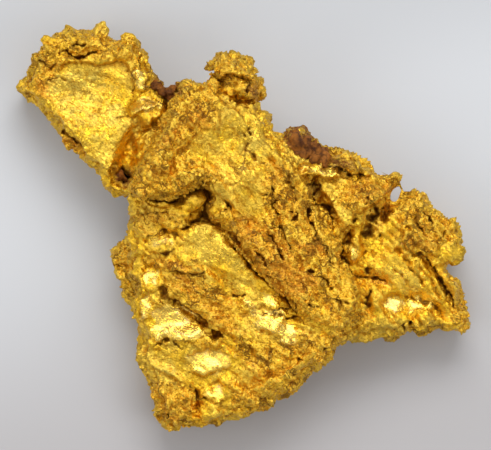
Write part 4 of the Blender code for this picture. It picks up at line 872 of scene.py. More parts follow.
def evened(values, edges, rounds):
    """The values (three for each vertex) averaged with their neighbours, over and over."""
    count = len(values)
    a, b = edges[:, 0], edges[:, 1]
    degree = np.maximum(np.bincount(a, minlength=count) + np.bincount(b, minlength=count), 1)
    for _ in range(rounds):
        total = np.stack(
            [np.bincount(a, column[b], count) + np.bincount(b, column[a], count) for column in values.T], axis=1
        )
        values = 0.5 * values + 0.5 * total / degree[:, None]
    return values


def outward_of(normals, edges):
    normals = evened(normals, edges, 3)
    return normals / np.linalg.norm(normals, axis=1)[:, None]


def put_attribute(mesh, name, values):
    layer = mesh.attributes.get(name) or mesh.attributes.new(name, "FLOAT", "POINT")
    layer.data.foreach_set("value", np.asarray(values, np.float32))


def values_of(mesh, name):
    values = np.empty(len(mesh.vertices), np.float32)
    mesh.attributes[name].data.foreach_get("value", values)
    return values


def vertex_areas(mesh):
    mesh.calc_loop_triangles()
    corners = np.empty(len(mesh.loop_triangles) * 3, np.int32)
    areas = np.empty(len(mesh.loop_triangles), np.float32)
    mesh.loop_triangles.foreach_get("vertices", corners)
    mesh.loop_triangles.foreach_get("area", areas)
    return np.bincount(corners, np.repeat(areas, 3), len(mesh.vertices))


def linked(name, data):
    obj = bpy.data.objects.new(name, data)
    bpy.context.scene.collection.objects.link(obj)
    return obj


def grid_of_node(node, name, voxel):
    """A copy of the frame's solid, welded and remeshed to an even grid. The solid itself is left alone."""
    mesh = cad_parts[node].data.copy()
    mesh.name = name
    mesh.materials.clear()
    obj = linked(name, mesh)
    select_only(obj)
    bpy.ops.object.mode_set(mode="EDIT")
    bpy.ops.mesh.select_all(action="SELECT")
    bpy.ops.mesh.remove_doubles(threshold=WELD)
    bpy.ops.object.mode_set(mode="OBJECT")
    modifier = obj.modifiers.new("Even grid", "REMESH")
    modifier.mode = "VOXEL"
    modifier.voxel_size = voxel
    apply_all(obj)
    return obj


def thin_out(obj, most):
    """Merges faces until most triangles are left. The merging measures its error in whole millimetres."""
    obj.data.transform(Matrix.Scale(1.0 / MM, 4))
    obj.data.calc_loop_triangles()
    modifier = obj.modifiers.new("Thin out", "DECIMATE")
    modifier.ratio = min(1.0, most / len(obj.data.loop_triangles))
    apply_all(obj)
    obj.data.transform(Matrix.Scale(MM, 4))


def smooth(obj):
    select_only(obj)
    bpy.ops.object.shade_smooth()


# ---- Node helpers ----


class Graph:
    """Builds a node tree."""

    def __init__(self, tree):
        self.tree = tree

    def node(self, kind, settings=None, **inputs):
        made = self.tree.nodes.new(kind)
        for name, value in (settings or {}).items():
            setattr(made, name, value)
        for name, value in inputs.items():
            self.put(made.inputs[name.replace("_", " ")], value)
        return made

    def put(self, socket, value):
        if isinstance(value, bpy.types.NodeSocket):
            self.tree.links.new(value, socket)
        else:
            socket.default_value = value

    def math(self, operation, a, b=0.0, clamp=False):
        made = self.node("ShaderNodeMath", {"operation": operation, "use_clamp": clamp})
        self.put(made.inputs[0], a)
        self.put(made.inputs[1], b)
        return made.outputs[0]

    def add(self, a, b, clamp=False):
        return self.math("ADD", a, b, clamp)

    def less(self, a, b, clamp=False):
        return self.math("SUBTRACT", a, b, clamp)

    def times(self, a, b, clamp=False):
        return self.math("MULTIPLY", a, b, clamp)

    def most(self, a, b):
        return self.math("MAXIMUM", a, b)

    def vector(self, operation, a, b):
        made = self.node("ShaderNodeVectorMath", {"operation": operation})
        self.put(made.inputs[0], a)
        self.put(made.inputs[1], b)
        return made.outputs["Value" if operation == "DOT_PRODUCT" else "Vector"]

    def mix(self, share, a, b):
        made = self.node("ShaderNodeMix", {"data_type": "RGBA", "clamp_factor": True})
        for socket, value in ((0, share), (6, a), (7, b)):
            self.put(made.inputs[socket], value)
        return made.outputs[2]

    def ramp(self, value, low, high, to_low=0.0, to_high=1.0):
        made = self.node("ShaderNodeMapRange", {"interpolation_type": "SMOOTHSTEP"})
        for socket, number in zip(made.inputs, (value, low, high, to_low, to_high)):
            self.put(socket, number)
        return made.outputs[0]

    def noise(self, vector, scale, detail=2.0, roughness=0.5):
        made = self.node("ShaderNodeTexNoise", None, Vector=vector, Scale=scale, Detail=detail, Roughness=roughness)
        return made.outputs["Fac"]

    def attribute(self, name):
        return self.node("ShaderNodeAttribute", {"attribute_name": name}).outputs["Fac"]

    def drawn_along(self, vector, degrees, stretch):
        """The vector, so that a texture on it is turned and stretched."""
        made = self.node("ShaderNodeMapping", {"vector_type": "TEXTURE"}, Vector=vector)
        made.inputs["Rotation"].default_value = (0.0, 0.0, math.radians(degrees))
        made.inputs["Scale"].default_value = stretch
        return made.outputs[0]

    def millimetres(self):
        """Object coordinates in millimetres."""
        where = self.node("ShaderNodeTexCoord")
        made = self.node("ShaderNodeMapping", None, Vector=where.outputs["Object"])
        made.inputs["Scale"].default_value = (1.0 / MM,) * 3
        return made.outputs[0]

    def grit(self, where, to_the_mm):
        """The outputs of the grit's group."""
        made = self.node("ShaderNodeGroup", {"node_tree": grit_tree()}, Vector=where)
        made.inputs["Grain per mm"].default_value = to_the_mm
        return made.outputs

    def bump(self, shader, height, depth):
        made = self.node("ShaderNodeBump", None, Height=height)
        made.inputs["Strength"].default_value = 1.0
        made.inputs["Distance"].default_value = depth
        self.put(shader.inputs["Normal"], made.outputs[0])


def colour_of(values):
    return (*values[:3], 1.0)


def new_material(name):
    """(material, its graph, its shader)."""
    made = bpy.data.materials.new(name)
    made.use_nodes = True
    return made, Graph(made.node_tree), made.node_tree.nodes["Principled BSDF"]


def new_group(name, inputs, outputs):
    """(group, its graph, its inputs by name, its output node). Each socket is (name, kind, default)."""
    tree = bpy.data.node_groups.new(name, "ShaderNodeTree")
    for direction, sockets in (("INPUT", inputs), ("OUTPUT", outputs)):
        for label, kind, default in sockets:
            socket = tree.interface.new_socket(label, in_out=direction, socket_type="NodeSocket" + kind)
            if default is not None:
                socket.default_value = default
    came_in = tree.nodes.new("NodeGroupInput")
    goes_out = tree.nodes.new("NodeGroupOutput")
    return tree, Graph(tree), came_in.outputs, goes_out.inputs


def grit_group():
    """Fine grit of a surface: tilted chips as a height, a tone for each chip, a mottle and pores."""
    tree, graph, given, out = new_group(
        GRIT,
        [("Vector", "Vector", None), ("Grain per mm", "Float", 6.0), ("Roughness", "Float", 0.6)],
        [("Height", "Float", None), ("Chip", "Float", None), ("Mottle", "Float", None), ("Pores", "Float", None)],
    )
    where, scale = given["Vector"], given["Grain per mm"]
    fine = graph.noise(where, graph.times(scale, 1.6), detail=3.0, roughness=0.6)
    broad = graph.noise(where, graph.times(scale, 0.35), detail=4.0, roughness=given["Roughness"])
    cells = graph.node("ShaderNodeTexVoronoi", None, Vector=where, Scale=scale)
    away = graph.vector("SUBTRACT", where, cells.outputs["Position"])
    tilt = graph.vector("SUBTRACT", cells.outputs["Color"], MID_GREY)
    plane = graph.vector("DOT_PRODUCT", away, tilt)
    height = graph.add(graph.times(fine, 0.6), graph.times(plane, 6.0))
    graph.put(out["Height"], graph.add(height, 0.22))
    tone = graph.node("ShaderNodeSeparateColor", None, Color=cells.outputs["Color"])
    graph.put(out["Chip"], tone.outputs["Blue"])
    graph.put(out["Mottle"], graph.ramp(broad, 0.33, 0.67))
    graph.put(out["Pores"], graph.ramp(cells.outputs["Distance"], 0.55, 0.85))
    return tree


def grit_tree():
    return bpy.data.node_groups.get(GRIT) or grit_group()


# ---- Gold's finish ----

MASKS = (*FINISHES, "hollow", "dirt_and_shade", "relief")  # what the skin stores for its finish to read


def flakes(graph, where):
    """(1 in the fine broken cracks between flakes, a tone of its own for each flake)."""
    drift = graph.node("ShaderNodeTexNoise", None, Vector=where, Scale=1.6, Detail=3.0)
    shift = graph.vector("MULTIPLY", graph.vector("SUBTRACT", drift.outputs["Color"], MID_GREY), (1.6, 1.6, 1.6))
    along = graph.drawn_along(graph.vector("ADD", where, shift), degrees=-54.0, stretch=(2.0, 0.9, 1.0))
    edges = graph.node("ShaderNodeTexVoronoi", {"feature": "DISTANCE_TO_EDGE"}, Vector=along, Scale=0.8)
    cells = graph.node("ShaderNodeTexVoronoi", None, Vector=along, Scale=0.8)
    tone = graph.node("ShaderNodeSeparateColor", None, Color=cells.outputs["Color"])
    line = graph.ramp(edges.outputs["Distance"], 0.075, 0.02)
    broken = graph.times(line, graph.ramp(graph.noise(where, 0.8, roughness=0.6), 0.44, 0.56))
    return broken, tone.outputs["Red"]


def creases(graph, where):
    """0 in the sharp folds of beaten metal, rising between them."""
    along = graph.drawn_along(where, degrees=-42.0, stretch=(2.0, 0.8, 1.0))
    return graph.math("ABSOLUTE", graph.less(graph.noise(along, 2.4, detail=3.0, roughness=0.6), 0.5))


class GoldFinish:
    """The gold's material, built layer on layer over what the skin stores."""

    def __init__(self, settings):
        self.settings = settings
        self.material, self.graph, self.shader = new_material("Native gold")
        g = self.graph
        where = g.millimetres()
        self.mask = {name: g.attribute(name) for name in MASKS}
        self.grit = g.grit(where, settings.grit)
        self.drift = g.noise(where, 0.55, detail=3.0, roughness=0.6)
        self.salt = g.noise(where, 8.5, roughness=0.65)
        self.fold = creases(g, where)
        lines, self.tone = flakes(g, where)
        self.crack = g.times(lines, g.ramp(self.mask["crust"], 0.0, 0.8, 0.2, 1.0))
        self.rubbed = g.ramp(self.mask["polish"], 0.25, 0.8)
        self.colour = None

    def paint(self, share, colour):
        """Lays one of the settings' colours, or a node's, over what is there."""
        if isinstance(colour, str):
            colour = colour_of(getattr(self.settings, colour))
        self.colour = self.graph.mix(share, self.colour, colour)

    def metal_and_crust(self):
        g, settings, mottle = self.graph, self.settings, self.grit["Mottle"]
        self.colour = g.mix(g.ramp(self.drift, 0.35, 0.65), colour_of(settings.gold), colour_of(settings.gold_pale))
        blend = g.add(g.times(self.grit["Chip"], 0.35), g.times(mottle, 0.3))
        blend = g.add(blend, g.times(self.tone, 0.35))
        sugar = g.mix(g.ramp(blend, 0.15, 0.85), colour_of(settings.crust_dark), colour_of(settings.crust_light))
        self.cover = g.times(self.mask["crust"], g.ramp(mottle, 0.0, 1.0, 0.95, 0.45), True)
        self.paint(self.cover, sugar)

    def stains_and_specks(self):
        g, crust, mottle = self.graph, self.mask["crust"], self.grit["Mottle"]
        stain = g.times(g.ramp(mottle, 0.9, 0.1, 0.75, 1.2), g.ramp(self.tone, 0.75, 0.2, 0.75, 1.35))
        rusty = g.times(self.mask["rust"], stain, True)
        self.paint(rusty, "rust")
        self.paint(g.times(self.mask["tarnish"], mottle), "tarnish")
        self.paint(g.times(g.ramp(self.salt, 0.53, 0.64), g.ramp(crust, 0.0, 1.0, 0.45, 0.85)), "speck")
        light = g.times(g.ramp(self.salt, 0.47, 0.39), g.ramp(crust, 0.0, 1.0, 0.3, 1.0))
        self.paint(g.times(light, g.ramp(rusty, 0.0, 0.9, 1.0, 0.25)), "gold_pale")

    def rub_and_wear(self):
        """Painted paler where rubbed and where the crust stands high, partly as wear and partly as a painted highlight;
        painted reflection in the folds; painted shade where low and in the creases.
        """
        g, mask = self.graph, self.mask
        # Rubbed gold, painted paler where the glints lie: partly a painted highlight.
        self.paint(g.times(self.rubbed, 0.85), "polished_highlight")
        # Painted reflection of the gold in its own folds and on its steep sides.
        self.paint(mask["painted_reflection"], "painted_reflection")
        height = g.add(mask["relief"], g.times(g.less(self.grit["Height"], 0.5), 0.7))
        # Painted shade in the low spots of the grain.
        low = g.times(g.ramp(height, 0.42, 0.05), g.ramp(mask["foil"], 0.0, 1.0, 0.75, 0.4))
        self.paint(g.times(low, g.ramp(self.rubbed, 0.0, 1.0, 1.0, 0.3)), "shade")
        # Painted shade in the creases of the smooth metal.
        edged = g.times(g.ramp(self.fold, 0.03, 0.0), g.ramp(self.salt, 0.4, 0.52, 0.15, 0.75))
        self.paint(g.times(edged, g.most(mask["foil"], g.times(mask["polish"], 0.5))), "shade")
        # Crust worn to bright gold on its high points, which is also a painted highlight.
        wear_and_highlight = g.times(g.ramp(height, 0.6, 0.95, 0.0, 0.6), g.ramp(mask["crust"], 0.0, 1.0, 0.3, 1.0))
        self.paint(wear_and_highlight, "gold_pale")

    def shade_dirt_and_earth(self):
        g, settings, mask, mottle = self.graph, self.settings, self.mask, self.grit["Mottle"]
        # Painted shade in the hollows and on the steep sides, and dirt with painted shade in the cracks and pits. The
        # flakes' hairline cracks are dark joints.
        shade_and_dirt = g.most(g.ramp(mask["hollow"], 0.2, 0.7, 0.0, 0.65), g.times(mask["dirt_and_shade"], 0.85))
        shade_and_dirt = g.times(shade_and_dirt, g.less(1.0, g.times(mask["painted_reflection"], 0.8)))
        shade_and_dirt = g.times(shade_and_dirt, g.ramp(mottle, 0.0, 0.8, 0.65, 1.1), True)
        self.shade_and_dirt = g.most(shade_and_dirt, g.times(self.crack, 0.7))
        self.paint(self.shade_and_dirt, "dirt_and_shade")
        clod = g.mix(mottle, colour_of(settings.earth_dark), colour_of(settings.earth_light))
        clod = g.mix(self.grit["Pores"], clod, colour_of(settings.dirt_and_shade))
        self.earthy = g.times(mask["earth"], g.ramp(self.salt, 0.40, 0.5, 0.55, 1.1), True)
        self.paint(self.earthy, clod)

    def shine(self):
        g, settings, shader = self.graph, self.settings, self.shader
        dull = g.add(settings.roughness, g.times(self.cover, 0.14))
        dull = g.add(dull, g.times(g.most(self.shade_and_dirt, self.earthy), 0.3))
        dull = g.less(dull, g.times(self.mask["polish"], 0.05))
        g.put(shader.inputs["Roughness"], g.add(dull, g.times(self.grit["Mottle"], 0.06), True))
        metal = g.less(1.0, g.times(self.shade_and_dirt, 0.4), True)
        g.put(shader.inputs["Metallic"], g.times(metal, g.less(1.0, g.times(self.earthy, 0.85)), True))
        g.put(shader.inputs["Coat Weight"], g.ramp(self.rubbed, 0.0, 1.0, 0.08 * settings.coat, settings.coat))
        shader.inputs["Coat Roughness"].default_value = 0.25
        shader.inputs["Specular IOR Level"].default_value = 0.15

    def fine_relief(self):
        """Grit on the crust, and creases where the metal is smooth."""
        g, foil, polish = self.graph, self.mask["foil"], self.mask["polish"]
        smooth = g.most(g.times(self.rubbed, 0.9), g.times(foil, 0.55))
        calm = g.less(1.0, g.times(smooth, 0.9))
        depth = g.less(g.times(self.grit["Height"], calm), g.times(self.crack, 0.8))
        bent = g.times(self.fold, g.most(foil, polish))
        g.bump(self.shader, g.less(depth, g.times(bent, 1.4)), self.settings.grit_depth)


def gold_material(settings):
    finish = GoldFinish(settings)
    finish.metal_and_crust()
    finish.stains_and_specks()
    finish.rub_and_wear()
    finish.shade_dirt_and_earth()
    finish.graph.put(finish.shader.inputs["Base Color"], finish.colour)
    finish.shine()
    finish.fine_relief()
    return finish.material


def ironstone_material(settings):
    made, graph, shader = new_material("Ironstone")
    grit = graph.grit(graph.millimetres(), 4.0)
    colour = graph.mix(grit["Mottle"], colour_of(settings.dark), colour_of(settings.light))
    # Painted shade: darker in the grain's hollows.
    colour = graph.mix(graph.ramp(graph.attribute("hollow"), 0.0, 0.15, 0.0, 0.8), colour, colour_of(settings.pit))
    colour = graph.mix(graph.times(grit["Pores"], 0.5), colour, colour_of(settings.pit))
    graph.put(shader.inputs["Base Color"], colour)
    shader.inputs["Roughness"].default_value = 0.7
    shader.inputs["Specular IOR Level"].default_value = 0.2
    shader.inputs["Metallic"].default_value = 0.0
    graph.bump(shader, grit["Height"], settings.grit_depth)
    return made


# ---- Settings ----


def colour_setting(name, description, default):
    return bpy.props.FloatVectorProperty(
        name=name, description=description, default=default, size=3, min=0.0, max=1.0, subtype="COLOR"
    )


def number_setting(name, description, default, least=0.0, **more):
    return bpy.props.FloatProperty(name=name, description=description, default=default, min=least, **more)


def length_setting(name, description, default):
    return number_setting(name, description, default, precision=5, unit="LENGTH")


def share_setting(name, description, default):
    return number_setting(name, description, default, max=1.0, subtype="FACTOR")


def count_setting(name, description, default, least=0):
    return bpy.props.IntProperty(name=name, description=description, default=default, min=least)


class NUGGET_PG_gold(bpy.types.PropertyGroup):
    """Sizes and colours of the gold."""

    grid: length_setting("Grid", "Spacing of the skin's grid before it is worked", 0.00008)
    triangles: count_setting("Triangles", "Most triangles in the finished skin", 196000, 10000)
    crystals: count_setting("Crystals", "About how many small crystals stand on the crust", 2400)
    crust_depth: length_setting("Crust depth", "Height of the crust's grains", 0.00017)
    crumple_depth: length_setting("Crumple depth", "How far the bare metal is crumpled, by the millimetre", 0.0009)
    grit: number_setting("Grit", "Grains to the millimetre", 5.6, 0.1)
    grit_depth: length_setting("Grit depth", "Depth of the finest grit", 0.00012)
    roughness: share_setting("Roughness", "Roughness of bare gold", 0.27)
    coat: share_setting("Sheen", "Strength of the white sheen where rubbed", 1.0)
    gold: colour_setting("Gold", "Bare gold", (1.0, 0.60, 0.028))
    gold_pale: colour_setting("Pale gold", "Bare gold where it is lighter", (1.0, 0.67, 0.08))
    # Painted paler where the glints lie, partly as a highlight.
    polished_highlight: colour_setting("Polished gold", "Gold rubbed bright", (1.0, 0.665, 0.085))
    crust_light: colour_setting("Light crust", "Lighter grains of the crust", (1.0, 0.615, 0.037))
    crust_dark: colour_setting("Dark crust", "Darker grains of the crust", (0.84, 0.415, 0.022))
    rust: colour_setting("Rust", "Brown iron stain", (0.72, 0.325, 0.025))
    earth_light: colour_setting("Light earth", "Iron earth", (0.36, 0.13, 0.022))
    earth_dark: colour_setting("Dark earth", "Iron earth where it is darker", (0.12, 0.035, 0.006))
    # Painted reflection: the orange of gold mirrored in its own folds.
    painted_reflection: colour_setting("Amber", "Metal that mirrors itself in a fold", (1.0, 0.55, 0.018))
    tarnish: colour_setting("Tarnish", "Grey-green film", (0.55, 0.45, 0.10))
    speck: colour_setting("Speck", "Dark specks in the crust", (0.36, 0.14, 0.006))
    shade: colour_setting("Shade", "Gold low in its grain, where it mirrors itself", (0.50, 0.21, 0.006))
    # Also the colour of the painted shade in hollows, on steep sides and in cracks and pits.
    dirt_and_shade: colour_setting("Dirt", "What lies in cracks", (0.17, 0.052, 0.004))


class NUGGET_PG_ironstone(bpy.types.PropertyGroup):
    """Colours of the ironstone."""

    grid: length_setting("Grid", "Spacing of a grain's surface", 0.00006)
    grit_depth: length_setting("Grit depth", "Depth of the finest grit", 0.00012)
    dark: colour_setting("Dark", "Dark brown", (0.10, 0.028, 0.004))
    light: colour_setting("Light", "Red brown", (0.36, 0.125, 0.016))
    # Also the colour of the painted shade in the grain's hollows.
    pit: colour_setting("Pits", "Pits and cracks", (0.025, 0.008, 0.004))


class NUGGET_PG_stage(bpy.types.PropertyGroup):
    """Floor, light and camera."""

    floor: colour_setting("Floor", "Pale floor", (0.635, 0.655, 0.69))
    world: number_setting("World", "Strength of the even light", 0.61)
    key: number_setting("Key", "Power of the main softbox", 1.3, unit="POWER")
    fill: number_setting("Fill", "Power of the side softboxes", 0.32, unit="POWER")
    lens: number_setting("Lens", "Focal length", 400.0, 10.0, unit="CAMERA")


# ---- Pieces ----


def crumpled(points):
    """Crumpled bare metal: a height in millimetres."""
    broad = tilted_planes(points, size=1.7, slope=0.42, seed=61, sharpness=14.0)
    planes = broad + tilted_planes(points + 7.0, size=0.6, slope=0.55, seed=71, sharpness=12.0)
    return planes + 0.07 * ridged(points + 3.0, wave=0.7, seed=67)


def wrinkled(points):
    return ridged(points, wave=0.36, seed=121)


def streaked(points):
    return ridged(points, wave=0.55, seed=95, layers=3)


class Skin:
    """The even grid as it came from the solid, and how each point of it faces."""

    def __init__(self, mesh):
        self.points, normals = arrays_of(mesh)
        self.edges = edges_of(mesh)
        self.normals = outward_of(normals, self.edges)
        self.face = smoothstep(0.15, 0.65, self.normals[:, 2])
        self.side = 1.0 - smoothstep(0.35, 0.8, np.abs(self.normals[:, 2]))
        self.under = smoothstep(0.1, 0.6, -self.normals[:, 2])
        self.free = smoothstep(0.05, 0.45, self.points[:, 2])  # 0 where it rests on the floor
        jag = [layered(self.points, wave=0.75, seed=seed, layers=3, fade=0.6) for seed in (5, 9)]
        self.jag = np.stack(jag, axis=1)
        self.from_gap = np.linalg.norm((self.points[:, :2] - np.array(GAP)) / np.array(GAP_SIZE), axis=1)

    def frayed(self, by):
        """Places on the face, shifted by noise, so that borders drawn there come out ragged."""
        return self.points[:, :2] + by * self.jag

    def shifted(self, points, by):
        return points + by * self.jag[:, [0, 1, 0]]


def crumple_of(skin, masks):
    """Height of the bare metal's crumple, for each millimetre of its depth."""
    points, side, foil = skin.points, skin.side, masks["foil"]
    crumple = drawn_out(points, crumpled)
    folded = tilted_planes(points * np.array([0.55, 0.55, 1.5]), size=0.9, slope=1.0, seed=83)
    crumple = crumple * (1.0 - side) + 1.1 * folded * side
    crumple *= (1.0 - 0.7 * masks["polish"]) * (1.0 - 0.55 * foil)
    small = tilted_planes(points, size=0.36, slope=0.6, seed=81, sharpness=12.0)
    small = small + 0.02 * ridged(points, wave=0.3, seed=85)
    crumple += 0.6 * small * (1.0 - 0.8 * np.maximum(masks["polish"], foil))
    crumple += 0.032 * foil * (1.0 - 0.6 * masks["polish"]) * drawn_out(points, wrinkled)
    return crumple


def sugar_of(skin):
    """Height of the crust, for each millimetre of its depth."""
    chips = facets(skin.shifted(skin.points, 0.08), size=0.36, seed=91, sharpness=12.0)
    lumps = layered(skin.points, wave=1.0, seed=99, layers=2)
    return 0.9 * chips + 0.55 * drawn_out(skin.points, streaked) + 0.5 * lumps + 0.5


def knobs_of(skin):
    """Knobs round the upper rim, in millimetres."""
    rim = smoothstep(0.25, 0.55, 1.0 - skin.normals[:, 2]) * smoothstep(0.8, 2.0, skin.points[:, 2])
    knobs = 0.55 * facets(skin.shifted(skin.points, 0.2), size=0.95, seed=107, sharpness=12.0)
    knobs = knobs + 0.07 * ridged(skin.points, wave=0.5, seed=109)
    return rim * smoothstep(-0.5, 0.3, layered(skin.points, wave=2.2, seed=111, layers=2)) * knobs


def dents_of(skin):
    """Broad dents of the underside, in millimetres."""
    dents = 0.45 * layered(skin.points, wave=2.6, seed=141, layers=3, fade=0.6)
    dents = dents + 0.5 * facets(skin.points, size=1.3, seed=143, sharpness=12.0)
    return skin.under * (dents + 0.1 * ridged(skin.points, wave=0.8, seed=147))


def crust_of(skin, masks):
    """0 on bare metal, 1 on crust. The sides carry patches of it too."""
    on_side = smoothstep(-0.3, 0.4, layered(skin.points, wave=2.6, seed=41, layers=2)) * (1.0 - skin.face)
    ragged = np.maximum(masks["crust"], 0.85 * on_side)
    ragged = ragged + 0.35 * layered(skin.points, wave=0.8, seed=51, layers=3, fade=0.6)
    return smoothstep(0.22, 0.62, ragged) * (1.0 - 0.7 * masks["foil"])


def face_heights(skin):
    """(how far the steps, planes, cracks and holes lift each point of the face, dirt and painted shade in them)."""
    nick = [waves(skin.points, wave=0.3, seed=seed) for seed in (15, 19)]
    flat = skin.frayed(0.15) + 0.07 * np.stack(nick, axis=1)
    fray = np.clip(0.5 + 0.9 * layered(skin.points, wave=0.38, seed=13, layers=2), 0.0, 1.0)
    cracks, crack_dirt_and_shade = crack_depths(flat, fray)
    holes, hole_dirt_and_shade = hole_depths(flat)
    planes = facet_heights(skin.points[:, :2], skin.frayed(0.3))
    lift = skin.face * (step_heights(flat) + planes - cracks - holes)
    return lift, np.maximum(crack_dirt_and_shade, hole_dirt_and_shade)


def lifted_at_gap(skin):
    """How far the underside is lifted, so that the skin is thin where light shows through."""
    return np.maximum(GAP_FLOOR - skin.points[:, 2], 0.0) * (1.0 - smoothstep(0.9, 2.0, skin.from_gap))


def worked(skin, masks, crust, settings, face_lift):
    """The points of the skin, folded, crumpled and crusted."""
    swell = settings.crumple_depth / MM * crumple_of(skin, masks) * (1.0 - 0.5 * crust)
    swell = swell + settings.crust_depth / MM * sugar_of(skin) * crust
    swell += knobs_of(skin)
    swell += 0.18 * layered(skin.points, wave=1.6, seed=103, layers=2) * skin.side
    swell += dents_of(skin)
    swell = swell * smoothstep(0.5, 1.1, skin.from_gap) - GAP_THINNING * (1.0 - smoothstep(0.5, 0.9, skin.from_gap))
    points = skin.points.copy()
    points[:, 2] += face_lift + (lifted_at_gap(skin) + filled(skin.points, skin.normals))
    points += skin.normals * (swell * skin.free)[:, None]
    points, edge = fitted_to_outline(points, OUTLINE)
    lobes = -ridged(skin.shifted(points, 0.1), wave=1.0, seed=131, layers=3)
    points += skin.normals * (0.14 * lobes * edge * skin.free * smoothstep(0.5, 1.1, skin.from_gap))[:, None]
    points[:, 2] = np.clip(points[:, 2], 0.0, TOP)
    return points


def work_gold(mesh, settings):
    """Works the even grid into folded, cracked and crusted gold, and stores the masks that the finish reads."""
    skin = Skin(mesh)
    masks = finish_masks(skin.frayed(0.3))
    face_lift, dirt_and_shade = face_heights(skin)
    crust = crust_of(skin, masks)
    points = worked(skin, masks, crust, settings, face_lift)
    put_points(mesh, points)

    normals, edges = skin.normals, skin.edges
    near = evened(points, edges, rounds=6)
    level = evened(near, edges, rounds=14)
    broad = evened(level, edges, rounds=40)
    masks["relief"] = np.clip(0.5 - 4.0 * np.sum((level - points) * normals, axis=1), 0.0, 1.0)
    # How deep each point lies in a broad hollow. The finish paints shade there.
    masks["hollow"] = np.clip(np.sum((broad - near) * normals, axis=1), -0.2, 1.0)
    masks["crust"] = crust
    facing = smoothstep(-0.1, 0.25, normals[:, 2])
    # Dirt and painted shade in the cracks and holes, and painted shade on the steep sides.
    masks["dirt_and_shade"] = np.clip(np.maximum(dirt_and_shade * facing, 0.15 * skin.side), 0.0, 1.0)
    # Painted reflection of the gold in itself on the steep sides.
    masks["painted_reflection"] = np.maximum(masks["painted_reflection"], 0.15 * skin.side)
    dense = smoothstep(-0.15, 0.5, layered(points, wave=0.9, seed=113, layers=2))
    masks[SOWING] = crust * dense * smoothstep(-0.2, 0.4, normals[:, 2]) * skin.free
    for name, values in masks.items():
        put_attribute(mesh, name, values)


def crystal_shapes():
    """The corners and faces of a cuboctahedron and of an octahedron with blunt tips."""
    made = []
    for cut in (0.49, 0.7056):  # how far each corner of a cube of 1 is cut back
        mesh = bmesh.new()
        bmesh.ops.create_cube(mesh, size=1.0)
        bmesh.ops.bevel(
            mesh, geom=mesh.verts[:], offset=cut, affect="VERTICES", segments=1, offset_type="OFFSET",
            clamp_overlap=True,
        )
        bmesh.ops.remove_doubles(mesh, verts=mesh.verts[:], dist=0.03)
        bmesh.ops.triangulate(mesh, faces=mesh.faces[:])
        bmesh.ops.recalc_face_normals(mesh, faces=mesh.faces[:])
        mesh.verts.index_update()
        made.append(
            (np.array([v.co for v in mesh.verts]), np.array([[v.index for v in f.verts] for f in mesh.faces]))
        )
        mesh.free()
    return made


def sown_crystals(mesh, settings):
    """Small crystals of gold standing on the skin where its sowing is dense."""
    points, normals = arrays_of(mesh)
    luck = np.random.default_rng(23)
    sow = values_of(mesh, SOWING) * vertex_areas(mesh)
    spots = np.flatnonzero(luck.random(len(points)) < sow * settings.crystals / sow.sum())
    shapes = crystal_shapes()
    corners, faces, owners, count = [], [], [], 0
    for k, spot in enumerate(spots):
        shape, shape_faces = shapes[k % len(shapes)]
        size = CRYSTAL_SIZE + CRYSTAL_SPREAD * luck.random() ** 2
        turn = np.array(
            Matrix.Rotation(luck.random() * math.tau, 3, Vector(luck.normal(size=3)).normalized())
        )
        stretch = 0.6 + 0.8 * luck.random(3)
        placed = (shape * stretch * size) @ turn.T + points[spot] - normals[spot] * size * CRYSTAL_SUNK
        corners.append(placed)
        faces.append(shape_faces + count)
        owners.append(np.full(len(shape), spot))
        count += len(shape)
    corners, faces, owners = np.concatenate(corners), np.concatenate(faces), np.concatenate(owners)
    corners[:, 2] = np.clip(corners[:, 2], CRYSTAL_CLEARANCE, TOP)
    made = bpy.data.meshes.new("gold_crystals")
    made.from_pydata((corners * MM).tolist(), [], faces.tolist())
    for name in MASKS:
        least, share = CRYSTAL_MASKS.get(name, (0.0, 1.0))
        put_attribute(made, name, least + share * values_of(mesh, name)[owners])
    return linked("gold_crystals", made)


def build_gold(settings):
    obj = grid_of_node("gold_body", "gold_skin", settings.grid)
    mesh = obj.data
    points, _ = arrays_of(mesh)
    soft = evened(points, edges_of(mesh), rounds=12)
    soft[:, 2] = np.where(points[:, 2] < RESTING, points[:, 2], soft[:, 2])
    put_points(mesh, soft)
    work_gold(mesh, settings)
    thin_out(obj, settings.triangles)
    crystals = sown_crystals(obj.data, settings)
    obj.data.attributes.remove(obj.data.attributes[SOWING])
    smooth(obj)
    material = gold_material(settings)
    for piece in (obj, crystals):
        piece.data.materials.append(material)
        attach(piece, "root")
    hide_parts("gold_body")


def build_ironstone(node, settings, material):
    obj = grid_of_node(node, node + "_grain", settings.grid)
    mesh = obj.data
    points, normals = arrays_of(mesh)
    edges = edges_of(mesh)
    chips = 0.5 * facets(points, size=1.3, seed=21) + 0.25 * facets(points, size=0.4, seed=23, sharpness=12.0)
    chips = chips + 0.03 * ridged(points, wave=0.35, seed=25)
    swell = BULGES.get(node, BULGE) + chips + 0.18 * layered(points, wave=0.9, seed=27, layers=4, fade=0.6)
    points += normals * swell[:, None]
    put_points(mesh, points)
    put_attribute(mesh, "hollow", np.sum((evened(points, edges, rounds=8) - points) * normals, axis=1))
    smooth(obj)
    obj.data.materials.append(material)
    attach(obj, "root")
    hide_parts(node)


